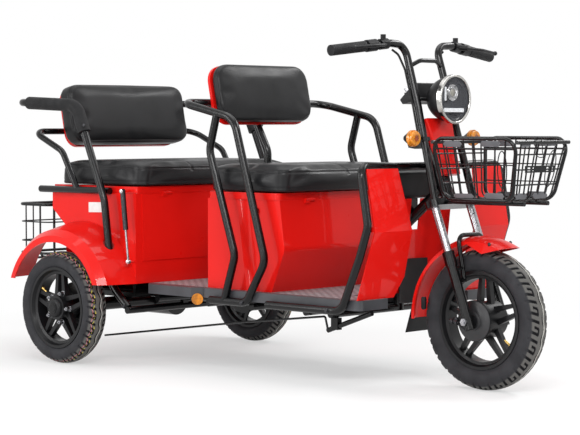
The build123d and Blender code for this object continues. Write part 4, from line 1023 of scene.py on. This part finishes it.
# ---- Fasteners and small trim: sections are (radius, distance out) ----
BOLT = [(8.5, 0), (8.5, 1.0), (6.2, 1.4), (6.2, 5.2), (5.2, 6.0), (0, 6.3)]
SCREW = [(6.0, 0), (5.8, 1.5), (4.4, 2.8), (2.0, 3.4), (0, 3.4)]
STRUT_END = [(7.5, 0), (7.5, 1.6), (5.4, 2.4), (5.2, 4.2), (3.6, 5.4), (0, 5.8)]
DRUM_FACE = [(62.5, 0), (62.5, 2.2), (60.5, 3.4), (52, 3.6), (50.5, 4.8), (29, 5.6), (27.5, 9.4), (25.5, 10.2),
             (20.6, 10.2)]
ADJUSTER = [(5, 0), (5, 4), (8.5, 5), (8.5, 13), (6, 14), (6, 20), (9, 21), (9, 31), (4, 33), (3, 40), (0, 40)]


def add_pairs(name, body, outline, segments, places, finish):
    """One small fitting facing outwards on both sides, at each of these (x, point)."""
    def build(form):
        for x, point in places:
            for sign in SIDES:
                turned(form, outline, at(sign * x, point), (sign, 0, 0), segments)
    add_piece(name, build, body, finish)


def add_fasteners():
    """Bolt heads where the hoops' feet, the armrests and the front fender are held."""
    hoop_feet = [(360.4, (712, 250)), (360.4, (340, 250)), (430.8, (1203, 211))]
    add_pairs("hoop_bolts", "chassis", BOLT, 6, hoop_feet, "dark_steel")
    add_pairs("armrest_screws", "chassis", SCREW, 12, [(436.5, (1401, 823))], "dark_steel")
    add_pairs("fender_bolts", "steering", SCREW, 12, [(53.2, (-54, 459))], "dark_steel")


def add_brake_details():
    """The drum's stepped face, the cable adjuster on its arm, and the clip at the foot of the fender."""
    add_piece("brake_drum_face", turning(DRUM_FACE, at(-57.2, (0, 220)), (-1, 0, 0), 64), "steering", "satin_drum")

    def adjuster(form):
        back = Vector((0, math.cos(math.radians(8)), math.sin(math.radians(8))))
        turned(form, ADJUSTER, at(-66, (52, 212)), back, 20)
        turned(form, [(9, 0), (9, 9), (7, 10), (0, 10)], at(-59, (66, 219)), (-1, 0, 0), 6)
    add_piece("brake_adjuster", adjuster, "steering", "dark_steel")

    def clip(form):
        face = -(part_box("front_fender")[1].x * 1000) - 0.3
        plate(form, [at(face, (202 + a, 262 + b)) for a, b in rounded(17, 40, 5)], (-0.006, 0, 0), 1.4)
    add_piece("fender_clip", clip, "steering", "black_plastic")


def add_strut_ends():
    """Bright domed ends of the gas struts: on the lid's pin and on the rod's socket."""
    add_pairs("strut_lid_ends", "rear_seat", STRUT_END, 20, [(415, (1234, 600))], "bright_steel")
    add_pairs("strut_box_ends", "strut_rods", STRUT_END, 20, [(413, (1207, 361))], "bright_steel")


def add_trim():
    """White reflectors of the rear box, and the dash's dial and key."""
    def reflectors(form):
        for sign in SIDES:
            outline = [at(sign * 380.4, point) for point in ((1442, 556), (1368, 558), (1368, 523), (1442, 521))]
            plate(form, outline, (sign * 0.0022, 0, 0), 0.8)
    add_piece("side_white_reflectors", reflectors, "chassis", "white_reflector")

    def dial(form):
        turned(form, [(26, -1), (26, 2.6), (23.5, 3.6), (22.5, 2.0), (0, 2.0)], at(0, DIAL), DASH_FACING, 40)
    add_piece("dash_dial", dial, "steering", "dial_face")

    def key(form):
        base = at(-41, KEY)
        turned(form, [(9, -1), (9, 4), (7.5, 5), (5, 5), (5, 8), (0, 8)], base, DASH_FACING, 24)
        side, up = frame_along(DASH_FACING)
        head = base + DASH_FACING * 0.008
        blade = ((-1.2, 0), (1.2, 0), (1.2, 20), (-1.2, 20))
        plate(form, [head + side * a / 1000 + DASH_FACING * b / 1000 for a, b in blade], up * 0.014, 0.4)
    add_piece("dash_key", key, "steering", "plated_steel")


add_camera()
materials = paint_frame()
for node, wheel, *_ in TYRES:
    add_tyre(node, wheel)
add_wheel_fittings()
add_lamp()
add_signal_faces()
add_basket_details()
add_fasteners()
add_brake_details()
add_trim()
add_strut_ends()
add_soft_goods(vinyl())

for lamp in LAMPS:
    add_area_light(*lamp)
add_world()
add_floor()
